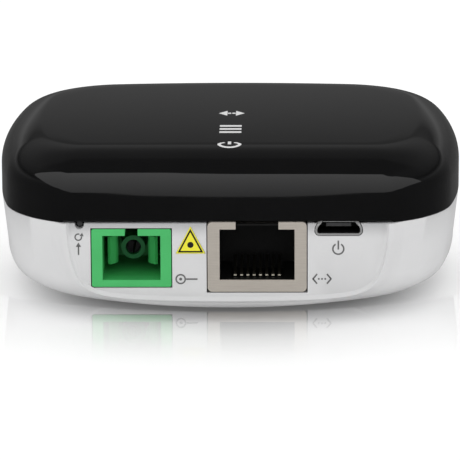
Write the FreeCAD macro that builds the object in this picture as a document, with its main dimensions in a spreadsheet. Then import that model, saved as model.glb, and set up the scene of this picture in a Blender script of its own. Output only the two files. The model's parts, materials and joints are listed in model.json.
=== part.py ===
import FreeCAD, Part
import math
import os
import Sketcher
from FreeCAD import Vector, Rotation, Placement

# Optical network terminal: a palm-sized rounded box with a gloss black cover over a white shell.
# Frame: +Z up, the port panel faces -Y, +X to the right when looking at the ports.
# Origin: centre of the footprint, on the surface that the rubber feet stand on. Millimetres.

os.makedirs("parts", exist_ok=True)
doc = FreeCAD.newDocument("optical_network_terminal")

# ---------------------------------------------------------------- driving dimensions
VALUES = {
    # plan outline of the case, from its own centre: side, corner and end arcs, then the flat port panel
    "half_width": 38.4,
    "half_back": 31.12,
    "half_front": 38.62,
    "flat_front": 32.0,
    "arc_side": 97.9,
    "arc_back": 195.4,
    "arc_front": 53.97,
    "corner_back": 19.0,
    "corner_front": 17.1,
    "corner_front_y": 15.79,
    "blend_front": 4.5,
    # heights
    "foot_proud": 0.4,
    "z_part": 16.5,
    "z_top": 28.0,
    "edge_round": 6.95,
    "shell_taper": 0.112,
    "round_height": 8.06,
    "round_width": 22.8,
    "round_power": 2.26,
    "wall": 2.0,
    "cover_back_step": 0.35,
    "cover_lift": 0.25,
    "lip_height": 1.2,
    # board
    "board_z": 17.3,
    "board_thick": 1.2,
    "board_inset": 3.6,
    "board_front": 3.4,
    # fibre port
    "sc_x": -15.53,
    "sc_z": 10.77,
    "sc_width": 12.85,
    "sc_height": 9.6,
    "sc_depth": 20.0,
    "sc_mouth_width": 9.38,
    "sc_mouth_height": 7.35,
    "sc_key_width": 2.1,
    "barrel_tip": 7.4,
    "barrel_radius": 1.95,
    "ferrule_bore": 1.25,
    # network port
    "lan_x": 4.75,
    "lan_z": 5.15,
    "lan_width": 16.0,
    "lan_height": 11.54,
    "lan_depth": 15.6,
    "lan_mouth_width": 12.1,
    "lan_mouth_z": 7.12,
    "lan_mouth_height": 8.39,
    "lan_notch_width": 6.9,
    "contact_pitch": 1.02,
    # power port
    "usb_x": 17.9,
    "usb_z": 14.52,
    "usb_width": 7.65,
    "usb_height": 2.5,
    "usb_depth": 5.6,
    # reset
    "reset_x": -23.87,
    "reset_z": 16.2,
    "reset_hole": 0.75,
    "plunger_radius": 0.45,
    # marks on the cover
    "icon_x": 0.24,
    "icon_power_y": -24.65,
    "icon_bars_y": -12.87,
    "icon_arrow_y": -0.56,
    "bar_pitch": 2.34,
    # fixings
    "screw_radius": 0.95,
    "pilot_radius": 1.0,
    "boss_radius": 2.6,
    "foot_radius": 3.5,
}
sheet = doc.addObject("Spreadsheet::Sheet", "Params")
for row, (alias, value) in enumerate(VALUES.items(), start=1):
    sheet.set("A%d" % row, alias)
    sheet.set("B%d" % row, repr(float(value)))
    sheet.setAlias("B%d" % row, alias)
doc.recompute()


class Dim:
    """A length that knows its number and the sheet expression it comes from."""

    def __init__(self, value, text=None):
        self.v = float(value)
        self.e = text if text is not None else "(%r)" % float(value)

    def bound(self):
        return "Params" in self.e

    def __add__(self, o):
        o = dim(o)
        return Dim(self.v + o.v, "(%s + %s)" % (self.e, o.e))

    def __radd__(self, o):
        return dim(o) + self

    def __sub__(self, o):
        o = dim(o)
        return Dim(self.v - o.v, "(%s - %s)" % (self.e, o.e))

    def __rsub__(self, o):
        return dim(o) - self

    def __mul__(self, o):
        o = dim(o)
        return Dim(self.v * o.v, "(%s * %s)" % (self.e, o.e))

    def __rmul__(self, o):
        return dim(o) * self

    def __truediv__(self, o):
        o = dim(o)
        return Dim(self.v / o.v, "(%s / %s)" % (self.e, o.e))

    def __neg__(self):
        return Dim(-self.v, "(0 - %s)" % self.e)


def dim(o):
    return o if isinstance(o, Dim) else Dim(o)


def cell(alias):
    return Dim(VALUES[alias], "Params.%s" % alias)


A, B, BF = cell("half_width"), cell("half_back"), cell("half_front")
FLAT = cell("flat_front")
RS, RB, RF = cell("arc_side"), cell("arc_back"), cell("arc_front")
CB, CF, BL = cell("corner_back"), cell("corner_front"), cell("blend_front")
FCY = cell("corner_front_y")
DEPTH = B + FLAT
FRONT = DEPTH / -2.0          # y of the port panel
CASE_Y = (FLAT - B) / 2.0     # y of the outline's own centre
ZB, ZP, ZT = cell("foot_proud"), cell("z_part"), cell("z_top")
WALL = cell("wall")
PZ, PT = cell("board_z"), cell("board_thick")
PZ2 = PZ + PT


def bind(obj, prop, value):
    value = dim(value)
    if value.bound():
        obj.setExpression(prop, value.e)
    return value.v


def place(obj, x, y, z, rot=None):
    obj.Placement = Placement(Vector(dim(x).v, dim(y).v, dim(z).v), rot or Rotation())
    for key, val in (("x", x), ("y", y), ("z", z)):
        if dim(val).bound():
            obj.setExpression("Placement.Base." + key, dim(val).e)
    return obj


def box(label, x0, x1, y0, y1, z0, z1):
    o = doc.addObject("Part::Box", label)
    o.Label = label
    x0, x1, y0, y1, z0, z1 = [dim(k) for k in (x0, x1, y0, y1, z0, z1)]
    for prop, d in (("Length", x1 - x0), ("Width", y1 - y0), ("Height", z1 - z0)):
        setattr(o, prop, d.v)
        bind(o, prop, d)
    return place(o, x0, y0, z0)


AXES = {"z": Rotation(), "y": Rotation(Vector(1, 0, 0), -90), "x": Rotation(Vector(0, 1, 0), 90)}


def rod(label, r, length, x, y, z, axis="z"):
    """A cylinder from (x, y, z) along +axis."""
    o = doc.addObject("Part::Cylinder", label)
    o.Label = label
    o.Radius = dim(r).v
    o.Height = dim(length).v
    bind(o, "Radius", r)
    bind(o, "Height", length)
    return place(o, x, y, z, AXES[axis])


def cone(label, r1, r2, length, x, y, z, axis="z"):
    o = doc.addObject("Part::Cone", label)
    o.Label = label
    o.Radius1, o.Radius2, o.Height = dim(r1).v, dim(r2).v, dim(length).v
    bind(o, "Radius1", r1)
    bind(o, "Radius2", r2)
    bind(o, "Height", length)
    return place(o, x, y, z, AXES[axis])


def fuse(label, *items):
    o = doc.addObject("Part::MultiFuse", label)
    o.Shapes = list(items)
    o.Label = label
    return o


def cut(label, base, *tools):
    o = doc.addObject("Part::Cut", label)
    o.Base = base
    o.Tool = tools[0] if len(tools) == 1 else fuse(label + "_cuts", *tools)
    o.Label = label
    return o


def group(label, *items):
    o = doc.addObject("Part::Compound", label)
    o.Links = list(items)
    o.Label = label
    return o


def rounded(label, base, radius, pick):
    """Part::Fillet on the edges that pick(edge) accepts."""
    doc.recompute()
    o = doc.addObject("Part::Fillet", label)
    o.Base = base
    o.Edges = [(i, radius, radius) for i, e in enumerate(base.Shape.Edges, start=1) if pick(e)]
    o.Label = label
    return o


def along(e, axis):
    t = e.tangentAt(e.FirstParameter)
    return e.Curve.TypeId == "Part::GeomLine" and abs(getattr(t, axis)) > 0.999


def plane_of(body, role):
    return [f for f in body.Origin.OriginFeatures if f.Role == role][0]


def new_body(label):
    b = doc.addObject("PartDesign::Body", label)
    b.Label = label
    return b


def new_sketch(body, name, role="XY_Plane", offset=0.0):
    sk = body.newObject("Sketcher::SketchObject", name)
    sk.AttachmentSupport = [(plane_of(body, role), "")]
    sk.MapMode = "FlatFace"
    sk.AttachmentOffset = Placement(Vector(0, 0, dim(offset).v), Rotation())
    if dim(offset).bound():
        sk.setExpression("AttachmentOffset.Base.z", dim(offset).e)
    return sk


def sized(sk, constraint, value):
    """Add a dimension and tie it to the sheet."""
    i = sk.addConstraint(constraint)
    if dim(value).bound():
        sk.setExpression("Constraints[%d]" % i, "%s * 1 mm" % dim(value).e)


C = Sketcher.Constraint


def corner_centre(half_x, half_y, r, rs, re):
    """Centre of the corner arc that is tangent inside a side arc and an end arc, and its two angles."""
    c1, c2 = (half_x - rs, 0.0), (0.0, half_y - re)
    d1, d2 = rs - r, re - r
    dx, dy = c2[0] - c1[0], c2[1] - c1[1]
    d = math.hypot(dx, dy)
    a = (d1 * d1 - d2 * d2 + d * d) / (2 * d)
    k = math.sqrt(d1 * d1 - a * a)
    mx, my = c1[0] + a * dx / d, c1[1] + a * dy / d
    c = max([(mx - k * dy / d, my + k * dx / d), (mx + k * dy / d, my - k * dx / d)], key=sum)
    return c, math.atan2(c[1], c[0] - c1[0]), math.atan2(c[1] - c2[1], c[0])


def outline(body, name, z, inset, keep=1.0, flat=None):
    """The case outline at one height, drawn inset from the outermost line.

    Side arcs, back corners and back arc, front corners and front arc, all tangent. With flat, the front
    corners run straight into the port side at that distance, with a small blend at each end of it.
    """
    i = dim(inset)
    a, b, bf = A - i, B - i, BF - i
    rs, rb, rf = RS - i, RB - i, RF - i
    cb, cf = CB - i * keep, CF - i * keep
    sk = new_sketch(body, name, "XY_Plane", z)
    pi = math.pi
    c, s1, s2 = corner_centre(a.v, b.v, cb.v, rs.v, rb.v)
    ax, by, fy = a.v - rs.v, b.v - rb.v, bf.v - rf.v
    if flat is None:
        f, q1, q2 = corner_centre(a.v, bf.v, cf.v, rs.v, rf.v)
    else:
        fcy = FCY.v
        f = (ax + math.sqrt((rs.v - cf.v) ** 2 - fcy ** 2), fcy)
        q1 = math.atan2(fcy, f[0] - ax)

    def arc(x, y, r, s, e):
        return sk.addGeometry(Part.ArcOfCircle(Part.Circle(Vector(x, y, 0), Vector(0, 0, 1), r), s, e), False)

    ids = [arc(ax, 0, rs.v, -q1, s1), arc(c[0], c[1], cb.v, s1, s2), arc(0, by, rb.v, s2, pi - s2),
           arc(-c[0], c[1], cb.v, pi - s2, pi - s1), arc(-ax, 0, rs.v, pi - s1, pi + q1)]
    if flat is None:
        ids += [arc(-f[0], -f[1], cf.v, pi + q1, pi + q2), arc(0, -fy, rf.v, pi + q2, 2 * pi - q2),
                arc(f[0], -f[1], cf.v, 2 * pi - q2, 2 * pi - q1)]
    else:
        fl = dim(flat)
        r = BL.v
        t = math.asin((fl.v - r - f[1]) / (cf.v - r))      # where the blend leaves the corner
        xb = f[0] + (cf.v - r) * math.cos(t)
        ids += [arc(-f[0], -f[1], cf.v, pi + q1, pi + t), arc(-xb, r - fl.v, r, pi + t, 1.5 * pi)]
        ids += [sk.addGeometry(Part.LineSegment(Vector(-xb, -fl.v, 0), Vector(xb, -fl.v, 0)), False)]
        ids += [arc(xb, r - fl.v, r, 1.5 * pi, 2 * pi - t), arc(f[0], -f[1], cf.v, 2 * pi - t, 2 * pi - q1)]
    n = len(ids)
    for k in range(n):
        sk.addConstraint(C("Tangent", ids[k], 2, ids[(k + 1) % n], 1))
    sk.addConstraint(C("PointOnObject", ids[0], 3, -1))
    sk.addConstraint(C("PointOnObject", ids[4], 3, -1))
    sk.addConstraint(C("PointOnObject", ids[2], 3, -2))
    sk.addConstraint(C("Equal", ids[0], ids[4]))
    sk.addConstraint(C("Equal", ids[1], ids[3]))
    sk.addConstraint(C("Equal", ids[5], ids[-1]))
    sized(sk, C("Radius", ids[0], rs.v), rs)
    sized(sk, C("Radius", ids[1], cb.v), cb)
    sized(sk, C("Radius", ids[2], rb.v), rb)
    sized(sk, C("Radius", ids[5], cf.v), cf)
    sized(sk, C("DistanceX", ids[0], 3, -1, 1, -ax), rs - a)
    sized(sk, C("DistanceX", -1, 1, ids[4], 3, -ax), rs - a)
    sized(sk, C("DistanceY", ids[2], 3, -1, 1, -by), rb - b)
    if flat is None:
        sk.addConstraint(C("PointOnObject", ids[6], 3, -2))
        sized(sk, C("Radius", ids[6], rf.v), rf)
        sized(sk, C("DistanceY", -1, 1, ids[6], 3, -fy), rf - bf)
    else:
        sk.addConstraint(C("Equal", ids[6], ids[8]))
        sk.addConstraint(C("Horizontal", ids[7]))
        sized(sk, C("Radius", ids[6], BL.v), BL)
        sized(sk, C("DistanceY", ids[5], 3, -1, 1, fcy), FCY)
        sized(sk, C("DistanceY", ids[9], 3, -1, 1, fcy), FCY)
        sized(sk, C("DistanceY", ids[7], 1, -1, 1, fl.v), fl)
    return sk


def loft(body, name, sections, ruled=False, cutting=False):
    o = body.newObject("PartDesign::SubtractiveLoft" if cutting else "PartDesign::AdditiveLoft", name)
    o.Profile = sections[0]
    o.Sections = sections[1:]
    o.Ruled = ruled
    return o


def pad(body, name, sketch, length, reverse=False, midplane=False):
    o = body.newObject("PartDesign::Pad", name)
    o.Profile = sketch
    o.Length = dim(length).v
    bind(o, "Length", length)
    o.Reversed = reverse
    o.Midplane = midplane
    return o


def polygon(sk, pts):
    """Closed polyline, each corner dimensioned from the origin."""
    n = len(pts)
    pts = [(dim(x), dim(y)) for x, y in pts]
    for k in range(n):
        p, q = pts[k], pts[(k + 1) % n]
        sk.addGeometry(Part.LineSegment(Vector(p[0].v, p[1].v, 0), Vector(q[0].v, q[1].v, 0)), False)
    for k in range(n):
        sk.addConstraint(C("Coincident", k, 2, (k + 1) % n, 1))
    for k, (x, y) in enumerate(pts):
        for kind, d in (("DistanceX", x), ("DistanceY", y)):
            if abs(d.v) < 1e-9:
                sk.addConstraint(C("PointOnObject", k, 1, -2 if kind == "DistanceX" else -1))
            elif d.v > 0:
                sized(sk, C(kind, -1, 1, k, 1, d.v), d)
            else:
                sized(sk, C(kind, k, 1, -1, 1, -d.v), -d)
    return sk


def prism(label, role, pts, start, length):
    """A PartDesign body: a polygon on an origin plane, padded along the plane's normal."""
    b = new_body(label)
    sk = polygon(new_sketch(b, label + "_sketch", role, start), pts)
    p = pad(b, label + "_pad", sk, length)
    b.Tip = p
    return b


# ---------------------------------------------------------------- bottom shell
# Tapered side wall below the parting line, then a deep superelliptic round into the flat underside.
zr = ZB.v + VALUES["round_height"]                 # where the side wall ends
i_wall = VALUES["shell_taper"] * (ZP.v - zr)


def under(a):
    """(inset, height) on the underside round for 0 at the wall and 90 degrees at the flat bottom."""
    m = 2.0 / VALUES["round_power"]
    c, s = max(math.cos(math.radians(a)), 0.0), math.sin(math.radians(a))
    return i_wall + VALUES["round_width"] * (1 - c ** m), zr - VALUES["round_height"] * s ** m


def moved_in(a, w):
    """The same point moved w square to the skin, into the case."""
    p, q = under(max(a - 0.5, 0.01)), under(min(a + 0.5, 89.9))
    t = (q[0] - p[0], q[1] - p[1])
    n = math.hypot(*t)
    c = under(a)
    return c[0] - w * t[1] / n, c[1] + w * t[0] / n


KEEP = 0.62
outer = new_body("shell_outer")
s_top = outline(outer, "shell_rim", ZP, 0.0)
s_mid = outline(outer, "shell_knuckle", ZB + cell("round_height"), cell("shell_taper") * (ZP - ZB - cell("round_height")), KEEP)
loft(outer, "shell_side", [s_top, s_mid], ruled=True)
rows = [s_mid]
for k, a in enumerate((9, 18, 28, 38, 48, 58, 68, 77, 84, 90)):
    inset, z = under(a)
    rows.append(outline(outer, "shell_round_%d" % k, Dim(z - ZB.v) + ZB, inset, KEEP))
loft(outer, "shell_round", rows)
place(outer, 0.0, CASE_Y, 0.0)

inner = new_body("shell_inner")
rows = [outline(inner, "room_rim", ZP + 0.5, WALL, KEEP),
        outline(inner, "room_knuckle", ZB + cell("round_height"), WALL + i_wall, KEEP)]
for k, a in enumerate((14, 30, 46, 62, 76, 89.5)):
    inset, z = moved_in(a, WALL.v)
    rows.append(outline(inner, "room_round_%d" % k, Dim(z - ZB.v) + ZB, inset, KEEP))
loft(inner, "room", rows, ruled=True)
place(inner, 0.0, CASE_Y, 0.0)

# the lip: a thin tongue standing inside the cover's edge, left out across the port side
lip = new_body("shell_lip")
pad(lip, "lip_pad", outline(lip, "lip_outer", ZP - 1.0, 1.15, 0.8), cell("lip_height") + 1.0)
place(lip, 0.0, CASE_Y, 0.0)
lip_room = new_body("lip_room")
pad(lip_room, "lip_room_pad", outline(lip_room, "lip_inner", ZP - 1.2, WALL, KEEP), cell("lip_height") + 2.0)
place(lip_room, 0.0, CASE_Y, 0.0)
lip_ring = cut("lip_ring", lip, lip_room, box("lip_gap", -40, 40, FRONT - 12, FRONT + 6, ZP - 3, ZP + 4))

panel_back = box("panel_back", -60, 60, FRONT - 20, FRONT + WALL, -5, 40)
room = cut("shell_room", inner, panel_back)
walls = cut("shell_walls", outer, room, box("panel_face", -60, 60, FRONT - 20, FRONT, -5, 40))

BOSSES = [(-28.6, FRONT + 15.5), (28.6, FRONT + 15.5), (-23.0, DEPTH / 2 - 9.5), (23.0, DEPTH / 2 - 9.5)]
boss_feet, boss_rods, pilots = [], [], []
for k, (x, y) in enumerate(BOSSES):
    boss_feet.append(rod("boss_foot_%d" % k, cell("boss_radius"), ZP - 1.0, x, y, 0.0))
    boss_rods.append(rod("boss_%d" % k, cell("boss_radius"), PZ - ZP + 2.0, x, y, ZP - 2.0))
    pilots.append(rod("pilot_%d" % k, cell("pilot_radius"), 8.0, x, y, PZ - 7.0))
# two low cradle ribs under the fibre port and two under the network port
cradle = [box("cradle_a", cell("sc_x") - 5.0, cell("sc_x") + 5.0, FRONT + 4.0, FRONT + 5.2, 1.4, cell("sc_z") - cell("sc_height") / 2 - 0.05),
          box("cradle_b", cell("sc_x") - 5.0, cell("sc_x") + 5.0, FRONT + 16.0, FRONT + 17.2, 1.4, cell("sc_z") - cell("sc_height") / 2 - 0.05),
          box("cradle_c", cell("lan_x") - 6.0, cell("lan_x") + 6.0, FRONT + 4.0, FRONT + 5.2, 1.4, cell("lan_z") - 0.05),
          box("cradle_d", cell("lan_x") - 6.0, cell("lan_x") + 6.0, FRONT + 13.0, FRONT + 14.2, 1.4, cell("lan_z") - 0.05)]
# the feet of the bosses and the ribs end on the skin of the case
grounded = doc.addObject("Part::Common", "shell_grounded")
grounded.Base = fuse("shell_posts", *(boss_feet + cradle))
grounded.Tool = outer
body_full = fuse("shell_body", walls, lip_ring, grounded, *boss_rods)

GAP = 0.16
FEET = [(-17.0, -14.5), (17.0, -14.5), (-17.0, 14.5), (17.0, 14.5)]
foot_seats = [rod("foot_seat_%d" % k, cell("foot_radius") + 0.1, 3.3, x, y, -2.0) for k, (x, y) in enumerate(FEET)]
sc_left, sc_right = cell("sc_x") - cell("sc_width") / 2, cell("sc_x") + cell("sc_width") / 2
sc_low, sc_high = cell("sc_z") - cell("sc_height") / 2, cell("sc_z") + cell("sc_height") / 2
lan_left, lan_right = cell("lan_x") - cell("lan_width") / 2, cell("lan_x") + cell("lan_width") / 2
usb_left, usb_right = cell("usb_x") - cell("usb_width") / 2, cell("usb_x") + cell("usb_width") / 2
sc_hole = box("fibre_hole", sc_left - GAP, sc_right + GAP, FRONT - 1, FRONT + 3, sc_low - GAP, sc_high + GAP)
lan_hole = box("network_hole", lan_left - GAP, lan_right + GAP, FRONT - 1, FRONT + 3, cell("lan_z") - GAP, ZP + 4)
usb_hole = box("power_hole", usb_left - 0.12, usb_right + 0.12, FRONT - 1, FRONT + 3, cell("usb_z") - 0.12, ZP + 4)
reset_hole = fuse("reset_hole", rod("reset_bore", cell("reset_hole"), 4.0, cell("reset_x"), FRONT - 1, cell("reset_z") + 0.1, "y"),
                  box("reset_slot", cell("reset_x") - cell("reset_hole"), cell("reset_x") + cell("reset_hole"), FRONT - 1, FRONT + 3, cell("reset_z") + 0.1, ZP + 4))
mark_seat = prism("mark_seat", "XZ_Plane", [(-8.4, 11.5), (-3.5, 11.5), (-5.95, 16.0)], -(FRONT + 0.1), 3.0)
label_seat = box("label_seat", -12.0, 12.0, -9.0, 5.0, -2.0, ZB + 0.12)
bottom_shell = cut("bottom_shell", body_full, sc_hole, lan_hole, usb_hole, reset_hole, mark_seat, label_seat, *(foot_seats + pilots))

# ---------------------------------------------------------------- top cover
c_out = new_body("cover_outer")
flat0 = FLAT - cell("cover_back_step")
ER = cell("edge_round")
c0 = outline(c_out, "cover_edge", ZP, 0.0, 1.0, flat0)
pad(c_out, "cover_side", c0, ZT - ER - ZP)
rows = [outline(c_out, "cover_shoulder", ZT - ER, 0.0, 1.0, flat0)]
for k, a in enumerate((11, 22, 34, 46, 58, 70, 80, 90)):
    g = math.radians(a)
    inset = ER * (1 - math.cos(g))
    rows.append(outline(c_out, "cover_round_%d" % k, ZT - ER * (1 - math.sin(g)), inset, 1.0, flat0 - inset))
loft(c_out, "cover_round", rows)
place(c_out, 0.0, CASE_Y, 0.0)

c_in = new_body("cover_inner")
rows = [outline(c_in, "attic_edge", ZP - 1.0, WALL, 1.0, flat0 - WALL)]
pad(c_in, "attic_side", rows[0], ZT - ER - ZP + 1.0)
rows = [outline(c_in, "attic_shoulder", ZT - ER, WALL, 1.0, flat0 - WALL)]
for k, a in enumerate((30, 60, 90)):
    g = math.radians(a)
    inset = WALL + (ER - WALL) * (1 - math.cos(g))
    rows.append(outline(c_in, "attic_round_%d" % k, ZT - ER + (ER - WALL) * math.sin(g), inset, 1.0, flat0 - inset))
loft(c_in, "attic_round", rows, ruled=True)
place(c_in, 0.0, CASE_Y, 0.0)
# rebate for the lip, and the small lift of the edge along the port side
rebate = new_body("cover_rebate")
pad(rebate, "rebate_pad", outline(rebate, "rebate_line", ZP - 1.0, 1.0, 1.0, flat0 - 1.0), cell("lip_height") + 1.15)
place(rebate, 0.0, CASE_Y, 0.0)
lift = box("edge_lift", -26.6, 26.6, FRONT - 5, FRONT + 4, ZP - 1, ZP + cell("cover_lift"))
usb_room = box("power_room", usb_left - 0.15, usb_right + 0.15, FRONT - 5, FRONT + 4, ZP - 1, cell("usb_z") + cell("usb_height") + 0.12)


def power_mark(label, z0, z1):
    ring = cut(label + "_band", rod(label + "_disc", 1.95, z1 - z0, cell("icon_x"), cell("icon_power_y"), z0),
               rod(label + "_eye", 1.36, z1 - z0 + 2, cell("icon_x"), cell("icon_power_y"), z0 - 1),
               box(label + "_gap", cell("icon_x") - 0.95, cell("icon_x") + 0.95, cell("icon_power_y"), cell("icon_power_y") + 4, z0 - 1, z1 + 1))
    stem = box(label + "_stem", cell("icon_x") - 0.3, cell("icon_x") + 0.3, cell("icon_power_y") + 0.1, cell("icon_power_y") + 2.5, z0, z1)
    return [ring, stem]


def bars_mark(label, z0, z1):
    return [box("%s_bar_%d" % (label, k), cell("icon_x") - 1.8, cell("icon_x") + 1.8,
                cell("icon_bars_y") + cell("bar_pitch") * k - 0.68, cell("icon_bars_y") + cell("bar_pitch") * k + 0.68, z0, z1) for k in (-1, 0, 1)]


def arrow_mark(label, z0, z1):
    out = []
    x, y = cell("icon_x"), cell("icon_arrow_y")
    for k, s in (("l", -1), ("r", 1)):
        pts = [(x + s * 2.12, y), (x + s * 0.72, y + 1.6), (x + s * 0.32, y + 1.1), (x + s * 1.28, y), (x + s * 0.32, y - 1.1), (x + s * 0.72, y - 1.6)]
        out.append(prism("%s_head_%s" % (label, k), "XY_Plane", pts if s > 0 else pts[::-1], z0, z1 - z0))
    out.append(box(label + "_bar", x - 0.78, x + 0.78, y - 0.34, y + 0.34, z0, z1))
    return out


cover_cuts = [c_in, rebate, lift, usb_room] + power_mark("cut_power", ZT - WALL - 1, ZT + 1) + bars_mark("cut_bars", ZT - WALL - 1, ZT + 1) + arrow_mark("cut_arrow", ZT - WALL - 1, ZT + 1)
top_cover = cut("top_cover", c_out, *cover_cuts)


def window(label, parts):
    """Glyph inserts, flush with the cover's outer skin."""
    o = doc.addObject("Part::Common", label)
    o.Base = group(label + "_strokes", *parts)
    o.Tool = c_out
    o.Label = label
    return o


led_window_power = window("led_window_power", power_mark("power", ZT - WALL, ZT + 1))
led_window_link = window("led_window_link", bars_mark("link", ZT - WALL, ZT + 1))
led_window_lan = window("led_window_lan", arrow_mark("lan", ZT - WALL, ZT + 1))

# ---------------------------------------------------------------- light pipe and lamps
pipe_top = ZT - WALL - 0.05
cols = []
for k, (y, before, after) in enumerate((("icon_power_y", -0.45, 2.2), ("icon_bars_y", 3.2, 3.2), ("icon_arrow_y", 1.9, 1.9))):
    cols.append(box("pipe_col_%d" % k, cell("icon_x") - 2.3, cell("icon_x") + 2.3, cell(y) - before, cell(y) + after, PZ2 + 1.2, pipe_top))
# the front column steps down under the cover's rounded edge
cols.append(box("pipe_step", cell("icon_x") - 2.3, cell("icon_x") + 2.3, cell("icon_power_y") - 2.2, cell("icon_power_y") + 0.5, PZ2 + 1.2, pipe_top - 0.95))
cols.append(box("pipe_rail", cell("icon_x") - 0.8, cell("icon_x") + 0.8, cell("icon_power_y"), cell("icon_arrow_y"), PZ2 + 3.0, PZ2 + 4.6))
light_pipe = fuse("light_pipe", *cols)
lamps = []
for k, y in enumerate(("icon_power_y", "icon_bars_y", "icon_arrow_y")):
    base = box("lamp_base_%d" % k, cell("icon_x") - 0.8, cell("icon_x") + 0.8, cell(y) - 0.4, cell(y) + 0.4, PZ2, PZ2 + 0.3)
    dome = box("lamp_lens_%d" % k, cell("icon_x") - 0.55, cell("icon_x") + 0.55, cell(y) - 0.4, cell(y) + 0.4, PZ2 + 0.3, PZ2 + 0.75)
    lamps.append(fuse("lamp_%d" % k, base, dome))
status_leds = group("status_leds", *lamps)

# ---------------------------------------------------------------- main board
board = new_body("main_board")
b_sk = outline(board, "board_line", PZ, cell("board_inset"), 1.0, FLAT - cell("board_front"))
b_pad = pad(board, "board_pad", b_sk, PT)
place(board, 0.0, CASE_Y, 0.0)
main_board = cut("main_board_drilled", board, *[rod("board_hole_%d" % k, 1.15, 4.0, x, y, PZ - 1) for k, (x, y) in enumerate(BOSSES)])
board.Label = "main_board_blank"
main_board.Label = "main_board"

screws = []
for k, (x, y) in enumerate(BOSSES):
    head = cut("screw_head_%d" % k, rod("screw_pan_%d" % k, 1.9, 1.2, x, y, PZ2),
               box("screw_slot_a_%d" % k, x - 1.1, x + 1.1, y - 0.2, y + 0.2, PZ2 + 0.6, PZ2 + 2),
               box("screw_slot_b_%d" % k, x - 0.2, x + 0.2, y - 1.1, y + 1.1, PZ2 + 0.6, PZ2 + 2))
    shank = rod("screw_shank_%d" % k, cell("screw_radius"), PT + 5.0, x, y, PZ - 5.0)
    screws.append(fuse("screw_%d" % k, head, shank))
board_screws = group("board_screws", *screws)

# ---------------------------------------------------------------- components on the board's upper side
proc = box("processor", -6.5, 6.5, 7.5, 20.5, PZ2, PZ2 + 1.1)
thermal_pad = box("thermal_pad", -6.0, 6.0, 8.0, 20.0, PZ2 + 1.1, PZ2 + 2.1)
fins = [box("fin_%d" % k, -12.4 + 4.0 * k, -11.2 + 4.0 * k, 4.0, 24.0, PZ2 + 3.3, PZ2 + 5.6) for k in range(7)]
heatsink = fuse("heatsink", box("sink_plate", -12.4, 12.8, 4.0, 24.0, PZ2 + 2.1, PZ2 + 3.3), *fins)
memory_chip = box("memory_chip", -25.5, -16.5, 6.0, 19.5, PZ2, PZ2 + 1.0)
flash_chip = box("flash_chip", 17.0, 25.0, 8.0, 14.0, PZ2, PZ2 + 0.9)
crystal = rounded("crystal", box("crystal_can", 16.6, 19.8, 1.0, 3.5, PZ2, PZ2 + 0.8), 0.3, lambda e: along(e, "z"))
coil_core = rounded("inductor", box("coil_block", 15.0, 21.0, -16.0, -10.0, PZ2, PZ2 + 2.8), 1.0, lambda e: along(e, "z"))
caps = [fuse("capacitor_%d" % k, rod("cap_can_%d" % k, 2.0, 4.4, x, y, PZ2 + 0.5), box("cap_seat_%d" % k, x - 2.15, x + 2.15, y - 2.15, y + 2.15, PZ2, PZ2 + 0.5))
        for k, (x, y) in enumerate(((26.5, -8.0), (26.5, -2.5), (20.0, -5.5)))]
capacitors = group("capacitors", *caps)
driver_chip = box("laser_driver", -20.0, -15.0, -8.0, -3.0, PZ2, PZ2 + 0.9)
# below the board, behind the network port
lan_transformer = box("lan_transformer", cell("lan_x") - 6.5, cell("lan_x") + 6.5, FRONT + 18.0, FRONT + 27.5, PZ - 5.0, PZ)

# ---------------------------------------------------------------- network port (8P8C)
sh = 0.3
LF, LZ, LH, LD = FRONT, cell("lan_z"), cell("lan_height"), cell("lan_depth")
mouth_l, mouth_r = cell("lan_x") - cell("lan_mouth_width") / 2, cell("lan_x") + cell("lan_mouth_width") / 2
mz, mh = cell("lan_mouth_z"), cell("lan_mouth_height")
notch_l, notch_r = cell("lan_x") - cell("lan_notch_width") / 2, cell("lan_x") + cell("lan_notch_width") / 2
can = rounded("lan_can", box("lan_block", lan_left, lan_right, LF, LF + LD, LZ, LZ + LH), 0.75, lambda e: along(e, "y"))
rj45_shield = cut("rj45_shield", can,
                  box("lan_can_room", lan_left + sh, lan_right - sh, LF + sh, LF + LD + 1, LZ + sh, LZ + LH - sh),
                  box("lan_mouth_cut", mouth_l, mouth_r, LF - 1, LF + 1, mz, mz + mh),
                  box("lan_notch_cut", notch_l, notch_r, LF - 1, LF + 2.2, mz + 1, LZ + LH + 1),
                  box("lan_tail_slot", cell("lan_x") - 4.3, cell("lan_x") + 4.3, LF + 13.3, LF + LD + 1, LZ + LH - 1.5, LZ + LH + 1))
blk = box("lan_core", lan_left + sh + 0.05, lan_right - sh - 0.05, LF + sh + 0.02, LF + LD - 0.2, LZ + sh + 0.05, LZ + LH - sh - 0.05)
trough = box("lan_trough", cell("lan_x") - 4.2, cell("lan_x") + 4.2, LF + 2.0, LF + 12.4, mz - 1.1, mz + 1)
tail_room = box("lan_tail_room", cell("lan_x") - 4.2, cell("lan_x") + 4.2, LF + 13.4, LF + LD + 1, mz - 1.1, LZ + LH)
rj45_housing = cut("rj45_housing", blk,
                   box("lan_mouth", mouth_l, mouth_r, LF - 1, LF + 12.4, mz, mz + mh),
                   box("lan_notch", notch_l, notch_r, LF - 1, LF + 12.4, mz + 1, LZ + LH - sh - 0.3),
                   trough, tail_room)
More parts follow.
